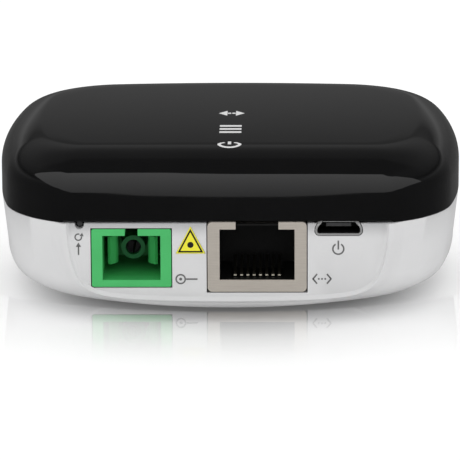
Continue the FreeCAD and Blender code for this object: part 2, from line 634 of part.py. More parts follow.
# eight contact springs: each rises from a front root towards the back; they give as one when a plug enters
springs = []
cy0 = LF + 2.5
for k in range(8):
    x = cell("lan_x") + cell("contact_pitch") * (k - 3.5) - 0.22
    pts = [(cy0, mz + 0.30), (cy0 + 0.35, mz + 0.62), (cy0 + 7.2, mz + 1.85), (cy0 + 7.9, mz + 1.75), (cy0 + 7.9, mz + 1.45),
           (cy0 + 7.2, mz + 1.55), (cy0 + 0.5, mz + 0.34), (cy0 + 0.3, mz + 0.1), (cy0, mz + 0.1)]
    springs.append(prism("contact_%d" % k, "YZ_Plane", pts, x, 0.44))
rj45_contacts = group("rj45_contact_springs", *springs)
tails = [fuse("tail_%d" % k, box("tail_post_%d" % k, cell("lan_x") + cell("contact_pitch") * (k - 3.5) - 0.22, cell("lan_x") + cell("contact_pitch") * (k - 3.5) + 0.22,
                                  LF + 14.0 - 0.25 * (k % 2), LF + 14.4 - 0.25 * (k % 2), mz + 1.0, PZ),
              box("tail_foot_%d" % k, cell("lan_x") + cell("contact_pitch") * (k - 3.5) - 0.22, cell("lan_x") + cell("contact_pitch") * (k - 3.5) + 0.22,
                  LF + 13.5, LF + 14.1, mz + 0.7, mz + 1.0)) for k in range(8)]
rj45_tails = group("rj45_contact_tails", *tails)

# ---------------------------------------------------------------- fibre port (SC/APC receptacle with its optics)
SX, SZ = cell("sc_x"), cell("sc_z")
SF = FRONT + 0.05
m_l, m_r = SX - cell("sc_mouth_width") / 2, SX + cell("sc_mouth_width") / 2
m_b, m_t = SZ - cell("sc_mouth_height") / 2, SZ + cell("sc_mouth_height") / 2
block = rounded("sc_block_round", box("sc_block", sc_left, sc_right, SF, SF + cell("sc_depth"), sc_low, sc_high), 0.35, lambda e: along(e, "y"))
sc_housing = cut("sc_housing", block,
                 box("sc_mouth", m_l, m_r, SF - 1, SF + 16.6, m_b, m_t),
                 box("sc_key", SX - cell("sc_key_width") / 2, SX + cell("sc_key_width") / 2, SF - 1, SF + 9.0, SZ, sc_high + 1),
                 rod("sc_back_bore", 2.55, 6.0, SX, SF + 15.5, SZ, "y"))
hold = fuse("holder_full", rod("holder_barrel", cell("barrel_radius"), Dim(22.5) - cell("barrel_tip"), SX, FRONT + cell("barrel_tip"), SZ, "y"),
            rod("holder_flange", 2.5, 3.0, SX, FRONT + 17.0, SZ, "y"))
sleeve_holder = cut("sleeve_holder", hold, rod("holder_bore", cell("ferrule_bore"), 5.0, SX, FRONT + cell("barrel_tip") - 1, SZ, "y"),
                    rod("holder_seat", 1.62, 14.0, SX, FRONT + cell("barrel_tip") + 1.2, SZ, "y"))
alignment_sleeve = cut("alignment_sleeve", rod("sleeve_tube", 1.6, 7.95, SX, FRONT + cell("barrel_tip") + 1.2, SZ, "y"),
                       rod("sleeve_bore", cell("ferrule_bore"), 10.0, SX, FRONT + cell("barrel_tip") + 0.4, SZ, "y"),
                       box("sleeve_split", SX - 0.15, SX + 0.15, FRONT + cell("barrel_tip"), FRONT + 24, SZ - 3, SZ))
fibre_stub = cut("fibre_stub", fuse("stub_full", rod("stub_rod", 1.15, 5.4, SX, FRONT + 16.8, SZ, "y"), rod("stub_collar", 1.6, 3.2, SX, FRONT + 19.0, SZ, "y")),
                 rod("stub_core", 0.06, 8.0, SX, FRONT + 16.0, SZ, "y"))
optics_block = cut("optics_block", box("optics_cube", SX - 3.6, SX + 3.6, FRONT + 22.55, FRONT + 30.0, SZ - 3.6, SZ + 3.6),
                   rod("optics_path", 0.9, 6.0, SX, FRONT + 22.0, SZ, "y"))


laser_can = fuse("laser_can", rod("laser_header", 2.8, 1.2, SX, FRONT + 33.0, SZ, "y"), rod("laser_cap", 2.35, 3.0, SX, FRONT + 30.0, SZ, "y"),
                 *[rod("laser_lead_%d" % k, 0.22, 4.0, SX + dx, FRONT + 34.2, SZ + dz, "y") for k, (dx, dz) in enumerate(((-1.2, 0.0), (1.2, 0.0), (0.0, 1.2)))])
receiver_can = fuse("receiver_can", rod("receiver_cap", 2.2, 2.6, SX + 3.6, FRONT + 26.3, SZ, "x"), rod("receiver_header", 2.6, 1.1, SX + 6.2, FRONT + 26.3, SZ, "x"),
                    *[rod("receiver_lead_%d" % k, 0.22, 3.0, SX + 7.3, FRONT + 26.3 + dy, SZ + dz, "x") for k, (dy, dz) in enumerate(((-1.1, 0.0), (1.1, 0.0), (0.0, 1.1)))])
# two latch arms, each hooked at its tip; they spread when a plug enters
arms = {}
for side, s in (("left", -1), ("right", 1)):
    pts = [(SX + s * 4.05, FRONT + 15.6), (SX + s * 4.05, FRONT + 5.2), (SX + s * 3.6, FRONT + 4.9), (SX + s * 2.75, FRONT + 5.9), (SX + s * 2.45, FRONT + 6.7),
           (SX + s * 2.45, FRONT + 7.1), (SX + s * 3.05, FRONT + 7.3), (SX + s * 3.05, FRONT + 15.6)]
    arms[side] = prism("sc_latch_" + side, "XY_Plane", pts if s < 0 else pts[::-1], SZ - 2.3, 4.6)

# ---------------------------------------------------------------- power port (micro-B shape)
UX, UZ, UW, UH = cell("usb_x"), cell("usb_z"), cell("usb_width"), cell("usb_height")
UF = FRONT + 0.05


def usb_section(grow):
    w, lo, hi = UW / 2 - grow, UZ + grow, UZ + UH - grow
    return [(UX - w, lo + 0.45), (UX - w + 0.35, lo), (UX + w - 0.35, lo), (UX + w, lo + 0.45), (UX + w, lo + 0.95), (UX + w - 0.75, hi), (UX - w + 0.75, hi), (UX - w, lo + 0.95)]


usb_full = prism("usb_full", "XZ_Plane", usb_section(0.0), -(UF + cell("usb_depth")), cell("usb_depth"))
usb_room2 = prism("usb_void", "XZ_Plane", usb_section(0.28), -(UF + cell("usb_depth") - 0.8), cell("usb_depth") + 1.0)
usb_shell = cut("usb_shell", usb_full, usb_room2)
usb_tongue = box("usb_tongue", UX - 2.0, UX + 2.0, UF + 1.0, UF + cell("usb_depth") - 0.82, UZ + 1.3, UZ + 1.85)
usb_contacts = group("usb_contacts", *[box("usb_contact_%d" % k, UX + 0.65 * (k - 2) - 0.18, UX + 0.65 * (k - 2) + 0.18, UF + 1.3, UF + 4.4, UZ + 1.2, UZ + 1.3) for k in range(5)])

# ---------------------------------------------------------------- reset switch
RX, RZ = cell("reset_x"), cell("reset_z")
reset_switch_body = cut("reset_switch_body", box("switch_case", RX - 2.2, RX + 1.75, FRONT + 3.3, FRONT + 6.6, PZ - 2.1, PZ),
                        rod("switch_bore", cell("plunger_radius") + 0.12, 2.4, RX, FRONT + 3.0, RZ, "y"))
reset_plunger = fuse("reset_plunger", rod("plunger_stem", cell("plunger_radius"), 3.2, RX, FRONT + 1.4, RZ, "y"),
                     rod("plunger_tip", cell("plunger_radius") - 0.12, 0.25, RX, FRONT + 1.15, RZ, "y"))

# ---------------------------------------------------------------- feet and labels
rubber_feet = group("rubber_feet", *[rod("foot_%d" % k, cell("foot_radius"), 1.3, x, y, 0.0) for k, (x, y) in enumerate(FEET)])
rating_label = box("rating_label", -11.9, 11.9, -8.9, 4.9, ZB + 0.02, ZB + 0.12)
caution_label = prism("caution_label", "XZ_Plane", [(-8.35, 11.53), (-3.55, 11.53), (-5.95, 15.93)], -(FRONT + 0.1), 0.09)

NODES = {
    "bottom_shell": bottom_shell, "top_cover": top_cover,
    "led_window_power": led_window_power, "led_window_link": led_window_link, "led_window_lan": led_window_lan,
    "light_pipe": light_pipe, "status_leds": status_leds, "main_board": main_board, "board_screws": board_screws,
    "processor": proc, "thermal_pad": thermal_pad, "heatsink": heatsink, "memory_chip": memory_chip, "flash_chip": flash_chip,
    "laser_driver": driver_chip, "crystal": crystal, "inductor": coil_core, "capacitors": capacitors, "lan_transformer": lan_transformer,
    "rj45_shield": rj45_shield, "rj45_housing": rj45_housing, "rj45_contact_springs": rj45_contacts, "rj45_contact_tails": rj45_tails,
    "sc_housing": sc_housing, "sleeve_holder": sleeve_holder, "alignment_sleeve": alignment_sleeve, "fibre_stub": fibre_stub,
    "sc_latch_left": arms["left"], "sc_latch_right": arms["right"], "optics_block": optics_block, "laser_can": laser_can, "receiver_can": receiver_can,
    "usb_shell": usb_shell, "usb_tongue": usb_tongue, "usb_contacts": usb_contacts,
    "reset_switch_body": reset_switch_body, "reset_plunger": reset_plunger,
    "rubber_feet": rubber_feet, "rating_label": rating_label, "caution_label": caution_label,
}

doc.recompute()
bad = [(o.Label, o.State) for o in doc.Objects if "Invalid" in o.State or "Error" in o.State]
if bad:
    raise SystemExit("failed objects: %s" % bad)
loose = [o.Label for o in doc.Objects if o.TypeId == "Sketcher::SketchObject" and not o.FullyConstrained]
if loose:
    print("sketches not fully constrained:", loose)
for node, obj in NODES.items():
    s = obj.Shape
    if s.isNull() or not s.isValid() or not s.Solids or s.Volume <= 0:
        raise SystemExit("bad shape: %s" % node)
    b = s.BoundBox
    print("%-22s solids %2d volume %9.2f  x %7.2f %7.2f  y %7.2f %7.2f  z %6.2f %6.2f" % (node, len(s.Solids), s.Volume, b.XMin, b.XMax, b.YMin, b.YMax, b.ZMin, b.ZMax))
for node, obj in NODES.items():
    obj.Shape.exportStep("parts/%s.step" % node)
print("nodes", len(NODES))
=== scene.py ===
import json
import math
import bpy
import bmesh
import numpy as np
from mathutils import Matrix, Vector
from mathutils.bvhtree import BVHTree


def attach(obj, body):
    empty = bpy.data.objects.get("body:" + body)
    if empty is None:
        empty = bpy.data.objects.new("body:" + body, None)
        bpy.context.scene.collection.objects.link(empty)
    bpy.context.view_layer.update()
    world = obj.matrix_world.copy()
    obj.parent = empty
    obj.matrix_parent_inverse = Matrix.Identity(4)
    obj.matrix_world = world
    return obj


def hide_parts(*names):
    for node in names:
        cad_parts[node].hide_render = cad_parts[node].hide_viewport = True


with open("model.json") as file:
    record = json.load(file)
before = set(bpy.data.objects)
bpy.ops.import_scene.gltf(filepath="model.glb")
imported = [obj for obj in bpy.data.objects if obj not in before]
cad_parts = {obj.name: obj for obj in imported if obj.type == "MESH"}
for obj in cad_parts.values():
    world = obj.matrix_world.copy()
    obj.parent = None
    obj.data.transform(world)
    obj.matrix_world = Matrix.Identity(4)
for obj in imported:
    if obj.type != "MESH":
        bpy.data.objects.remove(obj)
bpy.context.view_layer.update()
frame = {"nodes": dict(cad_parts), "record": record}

scene = bpy.context.scene
MM = 0.001
NODES = frame["nodes"]

# ------------------------------------------------------------------ case sizes, as in the CAD (mm)
A, B, FLAT = 38.4, 31.12, 32.0
BF, RS, RB, RF = 38.62, 97.9, 195.4, 53.97
CB, CF, FCY, BL = 19.0, 17.1, 15.79, 4.5
ZB, ZP, ZT, ER = 0.4, 16.5, 28.0, 6.95
FRONT = -(B + FLAT) / 2
CY = (FLAT - B) / 2
STEP, LIFT = 0.35, 0.25
SX, SZ = -15.53, 10.77
LX, LZ = 4.75, 5.15
UX, UZ = 17.9, 14.52
RX, RZ = -23.87, 16.2

# ------------------------------------------------------------------ camera
F_PX = 3841.11
C_MM = (11.2084, -632.3649 + 0.44, 162.5681 + 0.4)
YAW, PITCH, ROLL = -0.017995, 0.240932, -0.004727
cy, sy, cp, sp = math.cos(YAW), math.sin(YAW), math.cos(PITCH), math.sin(PITCH)
fwd = Vector((sy * cp, cy * cp, -sp))
r0 = Vector((cy, -sy, 0))
u0 = r0.cross(fwd)
right = math.cos(ROLL) * r0 + math.sin(ROLL) * u0
up = -math.sin(ROLL) * r0 + math.cos(ROLL) * u0
cam_data = bpy.data.cameras.new("camera")
cam = bpy.data.objects.new("camera", cam_data)
scene.collection.objects.link(cam)
cam_data.sensor_width = 36.0
cam_data.lens = F_PX * 36.0 / 460.0
cam_data.clip_start, cam_data.clip_end = 0.05, 20.0
m = Matrix((right, up, -fwd)).transposed().to_4x4()
m.translation = Vector(C_MM) * MM
cam.matrix_world = m
scene.camera = cam
scene.view_settings.view_transform = "Standard"
scene.view_settings.look = "None"


# ------------------------------------------------------------------ small helpers
def link(o):
    scene.collection.objects.link(o)
    return o


def mesh_object(name, verts, faces, smooth=True, angle=None):
    me = bpy.data.meshes.new(name)
    me.from_pydata([tuple(Vector(v) * MM) for v in verts], [], faces)
    me.validate()
    o = link(bpy.data.objects.new(name, me))
    bm = bmesh.new()
    bm.from_mesh(me)
    bmesh.ops.remove_doubles(bm, verts=bm.verts, dist=1e-7)
    bmesh.ops.recalc_face_normals(bm, faces=bm.faces)
    bm.to_mesh(me)
    bm.free()
    for p in me.polygons:
        p.use_smooth = smooth
    if angle:
        me.set_sharp_from_angle(angle=math.radians(angle))
    return o


def corner_centre(hx, hy, r, rs, re):
    c1, c2 = (hx - rs, 0.0), (0.0, hy - re)
    d1, d2 = rs - r, re - r
    dx, dy = c2[0] - c1[0], c2[1] - c1[1]
    d = math.hypot(dx, dy)
    a = (d1 * d1 - d2 * d2 + d * d) / (2 * d)
    k = math.sqrt(d1 * d1 - a * a)
    mx, my = c1[0] + a * dx / d, c1[1] + a * dy / d
    c = max([(mx - k * dy / d, my + k * dx / d), (mx + k * dy / d, my - k * dx / d)], key=sum)
    return c, math.atan2(c[1], c[0] - c1[0]), math.atan2(c[1] - c2[1], c[0])


def arc(cx, cy_, r, a0, a1, n):
    return [(cx + r * math.cos(t), cy_ + r * math.sin(t)) for t in np.linspace(a0, a1, n, endpoint=False)]


def clipped_outline(i, flat, blend=BL, q=1):
    """The cover's outline inset by i, with the straight port side at distance flat. Counter-clockwise, from +X."""
    a, b = A - i, B - i
    rs, rb, cb, cf = RS - i, RB - i, CB - i, CF - i
    c, s1, s2 = corner_centre(a, b, cb, rs, rb)
    ax, by = a - rs, b - rb
    f = (ax + math.sqrt((rs - cf) ** 2 - FCY ** 2), FCY)
    q1 = math.atan2(FCY, f[0] - ax)
    r = blend
    t = math.asin((flat - r - f[1]) / (cf - r))
    xb = f[0] + (cf - r) * math.cos(t)
    pi = math.pi
    pts = arc(ax, 0, rs, 0, s1, 10 * q) + arc(c[0], c[1], cb, s1, s2, 22 * q) + arc(0, by, rb, s2, pi - s2, 24 * q)
    pts += arc(-c[0], c[1], cb, pi - s2, pi - s1, 22 * q) + arc(-ax, 0, rs, pi - s1, pi + q1, 20 * q)
    pts += arc(-f[0], -f[1], cf, pi + q1, pi + t, 22 * q) + arc(-xb, r - flat, r, pi + t, 1.5 * pi, 10 * q)
    pts += [(x, -flat) for x in np.linspace(-xb, xb, 40 * q, endpoint=False)]
    pts += arc(xb, r - flat, r, 1.5 * pi, 2 * pi - t, 10 * q) + arc(f[0], -f[1], cf, 2 * pi - t, 2 * pi - q1, 22 * q)
    pts += arc(ax, 0, rs, 2 * pi - q1, 2 * pi, 10 * q)
    return pts


def strip(rings, close_last=True, close_first=False):
    """Quads between closed rings of equal length, with the ends filled."""
    verts, faces = [], []
    n = len(rings[0])
    for r in rings:
        verts += r
    for k in range(len(rings) - 1):
        for j in range(n):
            a, b = k * n + j, k * n + (j + 1) % n
            faces.append((a, b, b + n, a + n))
    if close_first:
        faces.append(tuple(range(n))[::-1])
    if close_last:
        faces.append(tuple(range((len(rings) - 1) * n, len(rings) * n)))
    return verts, faces


# ------------------------------------------------------------------ materials
def material(name, base, rough=0.5, metal=0.0, coat=0.0, coat_rough=0.05, spec=0.5, ior=1.46, grain=0.0, grain_scale=900.0,
             tint=0.0, tint_scale=60.0, bump=0.0, bump_scale=1500.0, rough_var=0.0, emission=0.0, brushed=None, subsurface=0.0):
    """Principled material whose colour, roughness and relief vary by noise in object space."""
    mt = bpy.data.materials.new(name)
    mt.use_nodes = True
    nt = mt.node_tree
    bs = nt.nodes["Principled BSDF"]
    bs.inputs["Base Color"].default_value = (*base, 1)
    bs.inputs["Roughness"].default_value = rough
    bs.inputs["Metallic"].default_value = metal
    bs.inputs["Coat Weight"].default_value = coat
    bs.inputs["Coat Roughness"].default_value = coat_rough
    bs.inputs["Specular IOR Level"].default_value = spec
    bs.inputs["IOR"].default_value = ior
    if emission:
        bs.inputs["Emission Color"].default_value = (*base, 1)
        bs.inputs["Emission Strength"].default_value = emission
    if subsurface:
        bs.inputs["Subsurface Weight"].default_value = subsurface
        bs.inputs["Subsurface Radius"].default_value = (0.002, 0.002, 0.002)
    tc = nt.nodes.new("ShaderNodeTexCoord")
    mp = nt.nodes.new("ShaderNodeMapping")
    if brushed:
        mp.inputs["Scale"].default_value = brushed
    nt.links.new(tc.outputs["Object"], mp.inputs["Vector"])

    def noise(scale, detail=3.0):
        n = nt.nodes.new("ShaderNodeTexNoise")
        n.inputs["Scale"].default_value = scale
        n.inputs["Detail"].default_value = detail
        nt.links.new(mp.outputs["Vector"], n.inputs["Vector"])
        return n

    if tint:
        n = noise(tint_scale)
        r = nt.nodes.new("ShaderNodeValToRGB")
        lo = [max(c * (1 - tint), 0) for c in base]
        hi = [min(c * (1 + tint), 1) for c in base]
        r.color_ramp.elements[0].position, r.color_ramp.elements[1].position = 0.3, 0.7
        r.color_ramp.elements[0].color = (*lo, 1)
        r.color_ramp.elements[1].color = (*hi, 1)
        nt.links.new(n.outputs["Fac"], r.inputs["Fac"])
        nt.links.new(r.outputs["Color"], bs.inputs["Base Color"])
        if emission:
            nt.links.new(r.outputs["Color"], bs.inputs["Emission Color"])
    if rough_var:
        n = noise(grain_scale * 0.4)
        r = nt.nodes.new("ShaderNodeMapRange")
        r.inputs["From Min"].default_value, r.inputs["From Max"].default_value = 0.3, 0.7
        r.inputs["To Min"].default_value = max(rough - rough_var, 0.02)
        r.inputs["To Max"].default_value = min(rough + rough_var, 1)
        nt.links.new(n.outputs["Fac"], r.inputs["Value"])
        nt.links.new(r.outputs["Result"], bs.inputs["Roughness"])
    if bump:
        n = noise(bump_scale, 4.0)
        b = nt.nodes.new("ShaderNodeBump")
        b.inputs["Strength"].default_value = bump
        b.inputs["Distance"].default_value = 0.00005
        nt.links.new(n.outputs["Fac"], b.inputs["Height"])
        nt.links.new(b.outputs["Normal"], bs.inputs["Normal"])
    return mt


MAT = {
    "cover_black": material("cover_black", (0.0022, 0.0022, 0.0024), rough=0.035, spec=0.5, ior=1.49, tint=0.15, tint_scale=200, rough_var=0.012, grain_scale=2500),
    "shell_white": material("shell_white", (0.665, 0.665, 0.67), rough=0.45, spec=0.14, tint=0.015, tint_scale=150, rough_var=0.05, bump=0.25, bump_scale=6000),
    "window_white": material("window_white", (0.72, 0.72, 0.72), rough=0.5, tint=0.03, emission=0.10),
    "clear_acrylic": material("clear_acrylic", (0.85, 0.9, 0.92), rough=0.08, tint=0.03),
    "led_white": material("led_white", (0.9, 0.85, 0.55), rough=0.25, tint=0.04),
    "board_green": material("board_green", (0.015, 0.10, 0.04), rough=0.3, coat=0.4, tint=0.25, tint_scale=900, rough_var=0.06),
    "screw_steel": material("screw_steel", (0.62, 0.62, 0.60), rough=0.28, metal=1.0, tint=0.06, rough_var=0.08),
    "chip_black": material("chip_black", (0.02, 0.02, 0.021), rough=0.55, tint=0.2, tint_scale=1500, bump=0.4, bump_scale=9000),
    "pad_grey": material("pad_grey", (0.30, 0.34, 0.40), rough=0.85, tint=0.08, bump=0.5),
    "sink_aluminium": material("sink_aluminium", (0.66, 0.67, 0.68), rough=0.35, metal=1.0, tint=0.05, brushed=(1, 12, 1), rough_var=0.1),
    "can_metal": material("can_metal", (0.68, 0.66, 0.60), rough=0.25, metal=1.0, tint=0.05, rough_var=0.06),
    "ferrite_grey": material("ferrite_grey", (0.08, 0.08, 0.085), rough=0.7, tint=0.2, tint_scale=2500, bump=0.5),
    "jack_nickel": material("jack_nickel", (0.53, 0.485, 0.43), rough=0.45, metal=0.35, tint=0.05, tint_scale=350, brushed=(1, 1, 14), rough_var=0.08, bump=0.25, bump_scale=900),
    "jack_black": material("jack_black", (0.006, 0.006, 0.006), rough=0.5, spec=0.25, tint=0.2, tint_scale=900, bump=0.3, bump_scale=7000),
    "contact_gold": material("contact_gold", (0.85, 0.80, 0.66), rough=0.35, metal=0.1, spec=0.2, tint=0.06, rough_var=0.06),
    "fibre_green": material("fibre_green", (0.066, 0.485, 0.14), rough=0.45, spec=0.3, tint=0.04, tint_scale=200, rough_var=0.06, bump=0.3, bump_scale=5000),
    "barrel_green": material("barrel_green", (0.015, 0.15, 0.05), rough=0.4, spec=0.2, tint=0.08, tint_scale=400, rough_var=0.05),
    # painted shade: the white ceramic sleeve is given a dark grey, for the shade deep inside the fibre port
    "ceramic_white": material("ceramic_white", (0.12, 0.13, 0.13), rough=0.2, coat=0.3, tint=0.05),
    "usb_metal": material("usb_metal", (0.34, 0.34, 0.34), rough=0.35, metal=0.35, tint=0.05, rough_var=0.06),
    "tongue_grey": material("tongue_grey", (0.05, 0.05, 0.052), rough=0.5, spec=0.3, tint=0.1, tint_scale=900),
    # near-black for the dark plastic at the back of the power port, and painted shade on the metal shell's inner walls
    "usb_black_and_painted_shade": material("usb_black_and_painted_shade", (0.006, 0.006, 0.006), rough=0.6, spec=0.2, tint=0.2, tint_scale=900),
    "plunger_grey": material("plunger_grey", (0.05, 0.05, 0.052), rough=0.5, tint=0.1, bump=0.2),
    "foot_rubber": material("foot_rubber", (0.02, 0.02, 0.02), rough=0.8, tint=0.2, tint_scale=1200, bump=0.5, bump_scale=4000),
    "label_grey": material("label_grey", (0.55, 0.55, 0.55), rough=0.4, tint=0.03, tint_scale=400),
    "label_yellow": material("label_yellow", (0.86, 0.80, 0.03), rough=0.35, tint=0.03, tint_scale=400),
    "ink_grey": material("ink_grey", (0.12, 0.12, 0.12), rough=0.5, tint=0.1, tint_scale=1500),
    "ink_black": material("ink_black", (0.01, 0.01, 0.01), rough=0.4, tint=0.2, tint_scale=1500),
}
# painted shade: the gold contact springs keep their colour only up to just above their lowest point; higher up they are
# painted near-black, for the shade inside the jack
lows = [v.co.z / MM for v in NODES["rj45_contact_springs"].data.vertices if v.co.y / MM < FRONT + 4.0]
TIP_Z0, TIP_Z1 = min(lows) + 0.12, min(lows) + 0.26
nt_ = MAT["contact_gold"].node_tree
bs_ = nt_.nodes["Principled BSDF"]
tc_ = nt_.nodes.new("ShaderNodeTexCoord")
sp_ = nt_.nodes.new("ShaderNodeSeparateXYZ")
contact_shade_ramp = nt_.nodes.new("ShaderNodeMapRange")
contact_shade_ramp.inputs["From Min"].default_value, contact_shade_ramp.inputs["From Max"].default_value = TIP_Z0 * MM, TIP_Z1 * MM
contact_shade_ramp.inputs["To Min"].default_value, contact_shade_ramp.inputs["To Max"].default_value = 1.0, 0.0
contact_shade_mix = nt_.nodes.new("ShaderNodeMix")
contact_shade_mix.data_type = "RGBA"
contact_shade_mix.inputs["A"].default_value = (0.010, 0.009, 0.007, 1)
nt_.links.new(tc_.outputs["Object"], sp_.inputs["Vector"])
nt_.links.new(sp_.outputs["Z"], contact_shade_ramp.inputs["Value"])
nt_.links.new(contact_shade_ramp.outputs["Result"], contact_shade_mix.inputs["Factor"])
src_ = bs_.inputs["Base Color"].links[0].from_socket
nt_.links.new(src_, contact_shade_mix.inputs["B"])
nt_.links.new(contact_shade_mix.outputs["Result"], bs_.inputs["Base Color"])
# painted shade: the port side's colour darkens just below the cover's edge, for the shade under it
nt_ = MAT["shell_white"].node_tree
bs_ = nt_.nodes["Principled BSDF"]
tc_ = nt_.nodes.new("ShaderNodeTexCoord")
sp_ = nt_.nodes.new("ShaderNodeSeparateXYZ")
shade_z_ramp = nt_.nodes.new("ShaderNodeMapRange")
shade_z_ramp.interpolation_type = "SMOOTHSTEP"
shade_z_ramp.inputs["From Min"].default_value, shade_z_ramp.inputs["From Max"].default_value = 0.0138, 0.0172
shade_z_ramp.inputs["To Min"].default_value, shade_z_ramp.inputs["To Max"].default_value = 0.0, 1.0
shade_y_ramp = nt_.nodes.new("ShaderNodeMapRange")
shade_y_ramp.inputs["From Min"].default_value, shade_y_ramp.inputs["From Max"].default_value = (FRONT + 0.02) * MM, (FRONT + 0.7) * MM
shade_y_ramp.inputs["To Min"].default_value, shade_y_ramp.inputs["To Max"].default_value = 1.0, 0.0
shade_x_ramp = nt_.nodes.new("ShaderNodeMapRange")
shade_x_ramp.interpolation_type = "SMOOTHSTEP"
shade_x_ramp.inputs["From Min"].default_value, shade_x_ramp.inputs["From Max"].default_value = 0.0252, 0.0262
shade_x_ramp.inputs["To Min"].default_value, shade_x_ramp.inputs["To Max"].default_value = 1.0, 0.0
wide = nt_.nodes.new("ShaderNodeMath")
wide.operation = "ABSOLUTE"
shade_xz_mask = nt_.nodes.new("ShaderNodeMath")
shade_xz_mask.operation = "MULTIPLY"
cover_edge_shade = nt_.nodes.new("ShaderNodeMath")
cover_edge_shade.operation = "MULTIPLY"
# painted shade: the shell's colour is mixed towards grey below the cover's edge
dark = nt_.nodes.new("ShaderNodeMix")
dark.data_type = "RGBA"
dark.inputs["B"].default_value = (0.40, 0.40, 0.405, 1)
src_ = bs_.inputs["Base Color"].links[0].from_socket
nt_.links.new(tc_.outputs["Object"], sp_.inputs["Vector"])
nt_.links.new(sp_.outputs["Z"], shade_z_ramp.inputs["Value"])
nt_.links.new(sp_.outputs["Y"], shade_y_ramp.inputs["Value"])
nt_.links.new(sp_.outputs["X"], wide.inputs[0])
nt_.links.new(wide.outputs["Value"], shade_x_ramp.inputs["Value"])
nt_.links.new(shade_z_ramp.outputs["Result"], shade_xz_mask.inputs[0])
nt_.links.new(shade_x_ramp.outputs["Result"], shade_xz_mask.inputs[1])
nt_.links.new(shade_xz_mask.outputs["Value"], cover_edge_shade.inputs[0])
nt_.links.new(shade_y_ramp.outputs["Result"], cover_edge_shade.inputs[1])
nt_.links.new(cover_edge_shade.outputs["Value"], dark.inputs["Factor"])
nt_.links.new(src_, dark.inputs["A"])
nt_.links.new(dark.outputs["Result"], bs_.inputs["Base Color"])
slots = {s["node"]: s["material_slot"] for s in frame["record"]["subparts"]}
for name, o in NODES.items():
    o.data.materials.clear()
    o.data.materials.append(MAT["tongue_grey" if name == "usb_tongue" else slots[name]])
    for p in o.data.polygons:
        p.use_smooth = True
    o.data.set_sharp_from_angle(angle=math.radians(28))

# ------------------------------------------------------------------ pieces: the cover
FL0 = FLAT - STEP
SH = ZT - ER
CROWN = 0.20


def crowned(x, y, z):
    """The top is very slightly domed: its edges lie a little under its middle."""
    w = min(max((z - SH) / ER, 0.0), 1.0)
    return z - CROWN * w * (0.45 * (x / 38.4) ** 2 + 0.55 * (y / 31.4) ** 2)


def skin_z(x, y):
    """Height of the cover's outer skin over a point near the middle line (body coordinates of y)."""
    i = y + FL0
    if i >= ER:
        z = ZT
    else:
        c = max(min(1 - i / ER, 1.0), 0.0)
        z = ZT - ER * (1 - math.sqrt(1 - c * c))
    return crowned(x, y, z)


def ring(inset, z, q=2):
    return [(x, y, z) for x, y in clipped_outline(inset, FL0 - inset, BL, q)]


def lift_of(x, y):
    if y > -20:
        return 0.0
    t = min(max((26.75 - abs(x)) / 0.3, 0.0), 1.0)
    return LIFT * t * t * (3 - 2 * t)


rings = []
base = ring(0.0, 0.0)
low = [(x, y, ZP + lift_of(x, y)) for x, y, _ in base]
rings.append([(x, y, z + 2.6) for x, y, z in ring(2.0, ZP + 0.6)])
inner = ring(1.15, 0.0)
rings.append([(x, y, ZP + 1.2) for x, y, _ in inner])
rings.append([(x, y, ZP + lift_of(x, y) + 0.02) for x, y, _ in inner])
edge_in = ring(0.12, 0.0)
rings.append([(x, y, ZP + lift_of(x, y)) for x, y, _ in edge_in])
rings.append([(x, y, z + 0.12) for x, y, z in low])
for z in np.linspace(ZP + 0.9, SH, 7):
    rings.append([(x, y, float(z)) for x, y, _ in base])
for g in np.radians(np.concatenate([np.linspace(1.5, 90, 36)])):
    i = ER * (1 - math.cos(g))
    z = ZT - ER * (1 - math.sin(g))
    rings.append([(x, y, crowned(x, y, z)) for x, y, _ in ring(i, z)])
last = rings[-1]
for k in np.linspace(0.93, 0.02, 18):
    rings.append([(x * k, y * k, crowned(x * k, y * k, ZT)) for x, y, _ in last])
verts, faces = strip(rings, close_last=True, close_first=False)
# the underside of the roof closes the shell from inside
n = len(base)
roof = [(x, y, min(z, ZT - 1.9)) for x, y, z in ring(2.0, ZT - 4.0)]
start = len(verts)
verts += roof
for j in range(n):
    a, b = j, (j + 1) % n
    faces.append((a, b, start + b, start + a))
attic = [(x * 0.9, y * 0.9, ZT - 2.0) for x, y, _ in roof]
start2 = len(verts)
verts += attic
for j in range(n):
    a, b = j, (j + 1) % n
    faces.append((start + a, start + b, start2 + b, start2 + a))
faces.append(tuple(range(start2, start2 + n)))
verts = [(x, y + CY, z) for x, y, z in verts]
cover = mesh_object("cover_skin", verts, faces, smooth=True, angle=40)
cover.data.materials.append(MAT["cover_black"])
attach(cover, "case")
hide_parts("top_cover")


# ------------------------------------------------------------------ pieces: flat glyphs, as 2-D outlines
def circle(cx, cz, r, n=40, a0=0.0, a1=2 * math.pi, closed=True):
    return [(cx + r * math.cos(t), cz + r * math.sin(t)) for t in np.linspace(a0, a1, n, endpoint=not closed)]


def ring_shape(cx, cz, r0, r1, a0=0.0, a1=2 * math.pi, n=48):
    """Quads of a circular stroke between two angles."""
    ts = np.linspace(a0, a1, n)
    out = []
    for t, u in zip(ts[:-1], ts[1:]):
        out.append([(cx + r0 * math.cos(t), cz + r0 * math.sin(t)), (cx + r1 * math.cos(t), cz + r1 * math.sin(t)),
                    (cx + r1 * math.cos(u), cz + r1 * math.sin(u)), (cx + r0 * math.cos(u), cz + r0 * math.sin(u))])
    return out


def bar(x0, x1, z0, z1, n=1):
    xs = np.linspace(x0, x1, n + 1)
    return [[(a, z0), (b, z0), (b, z1), (a, z1)] for a, b in zip(xs[:-1], xs[1:])]


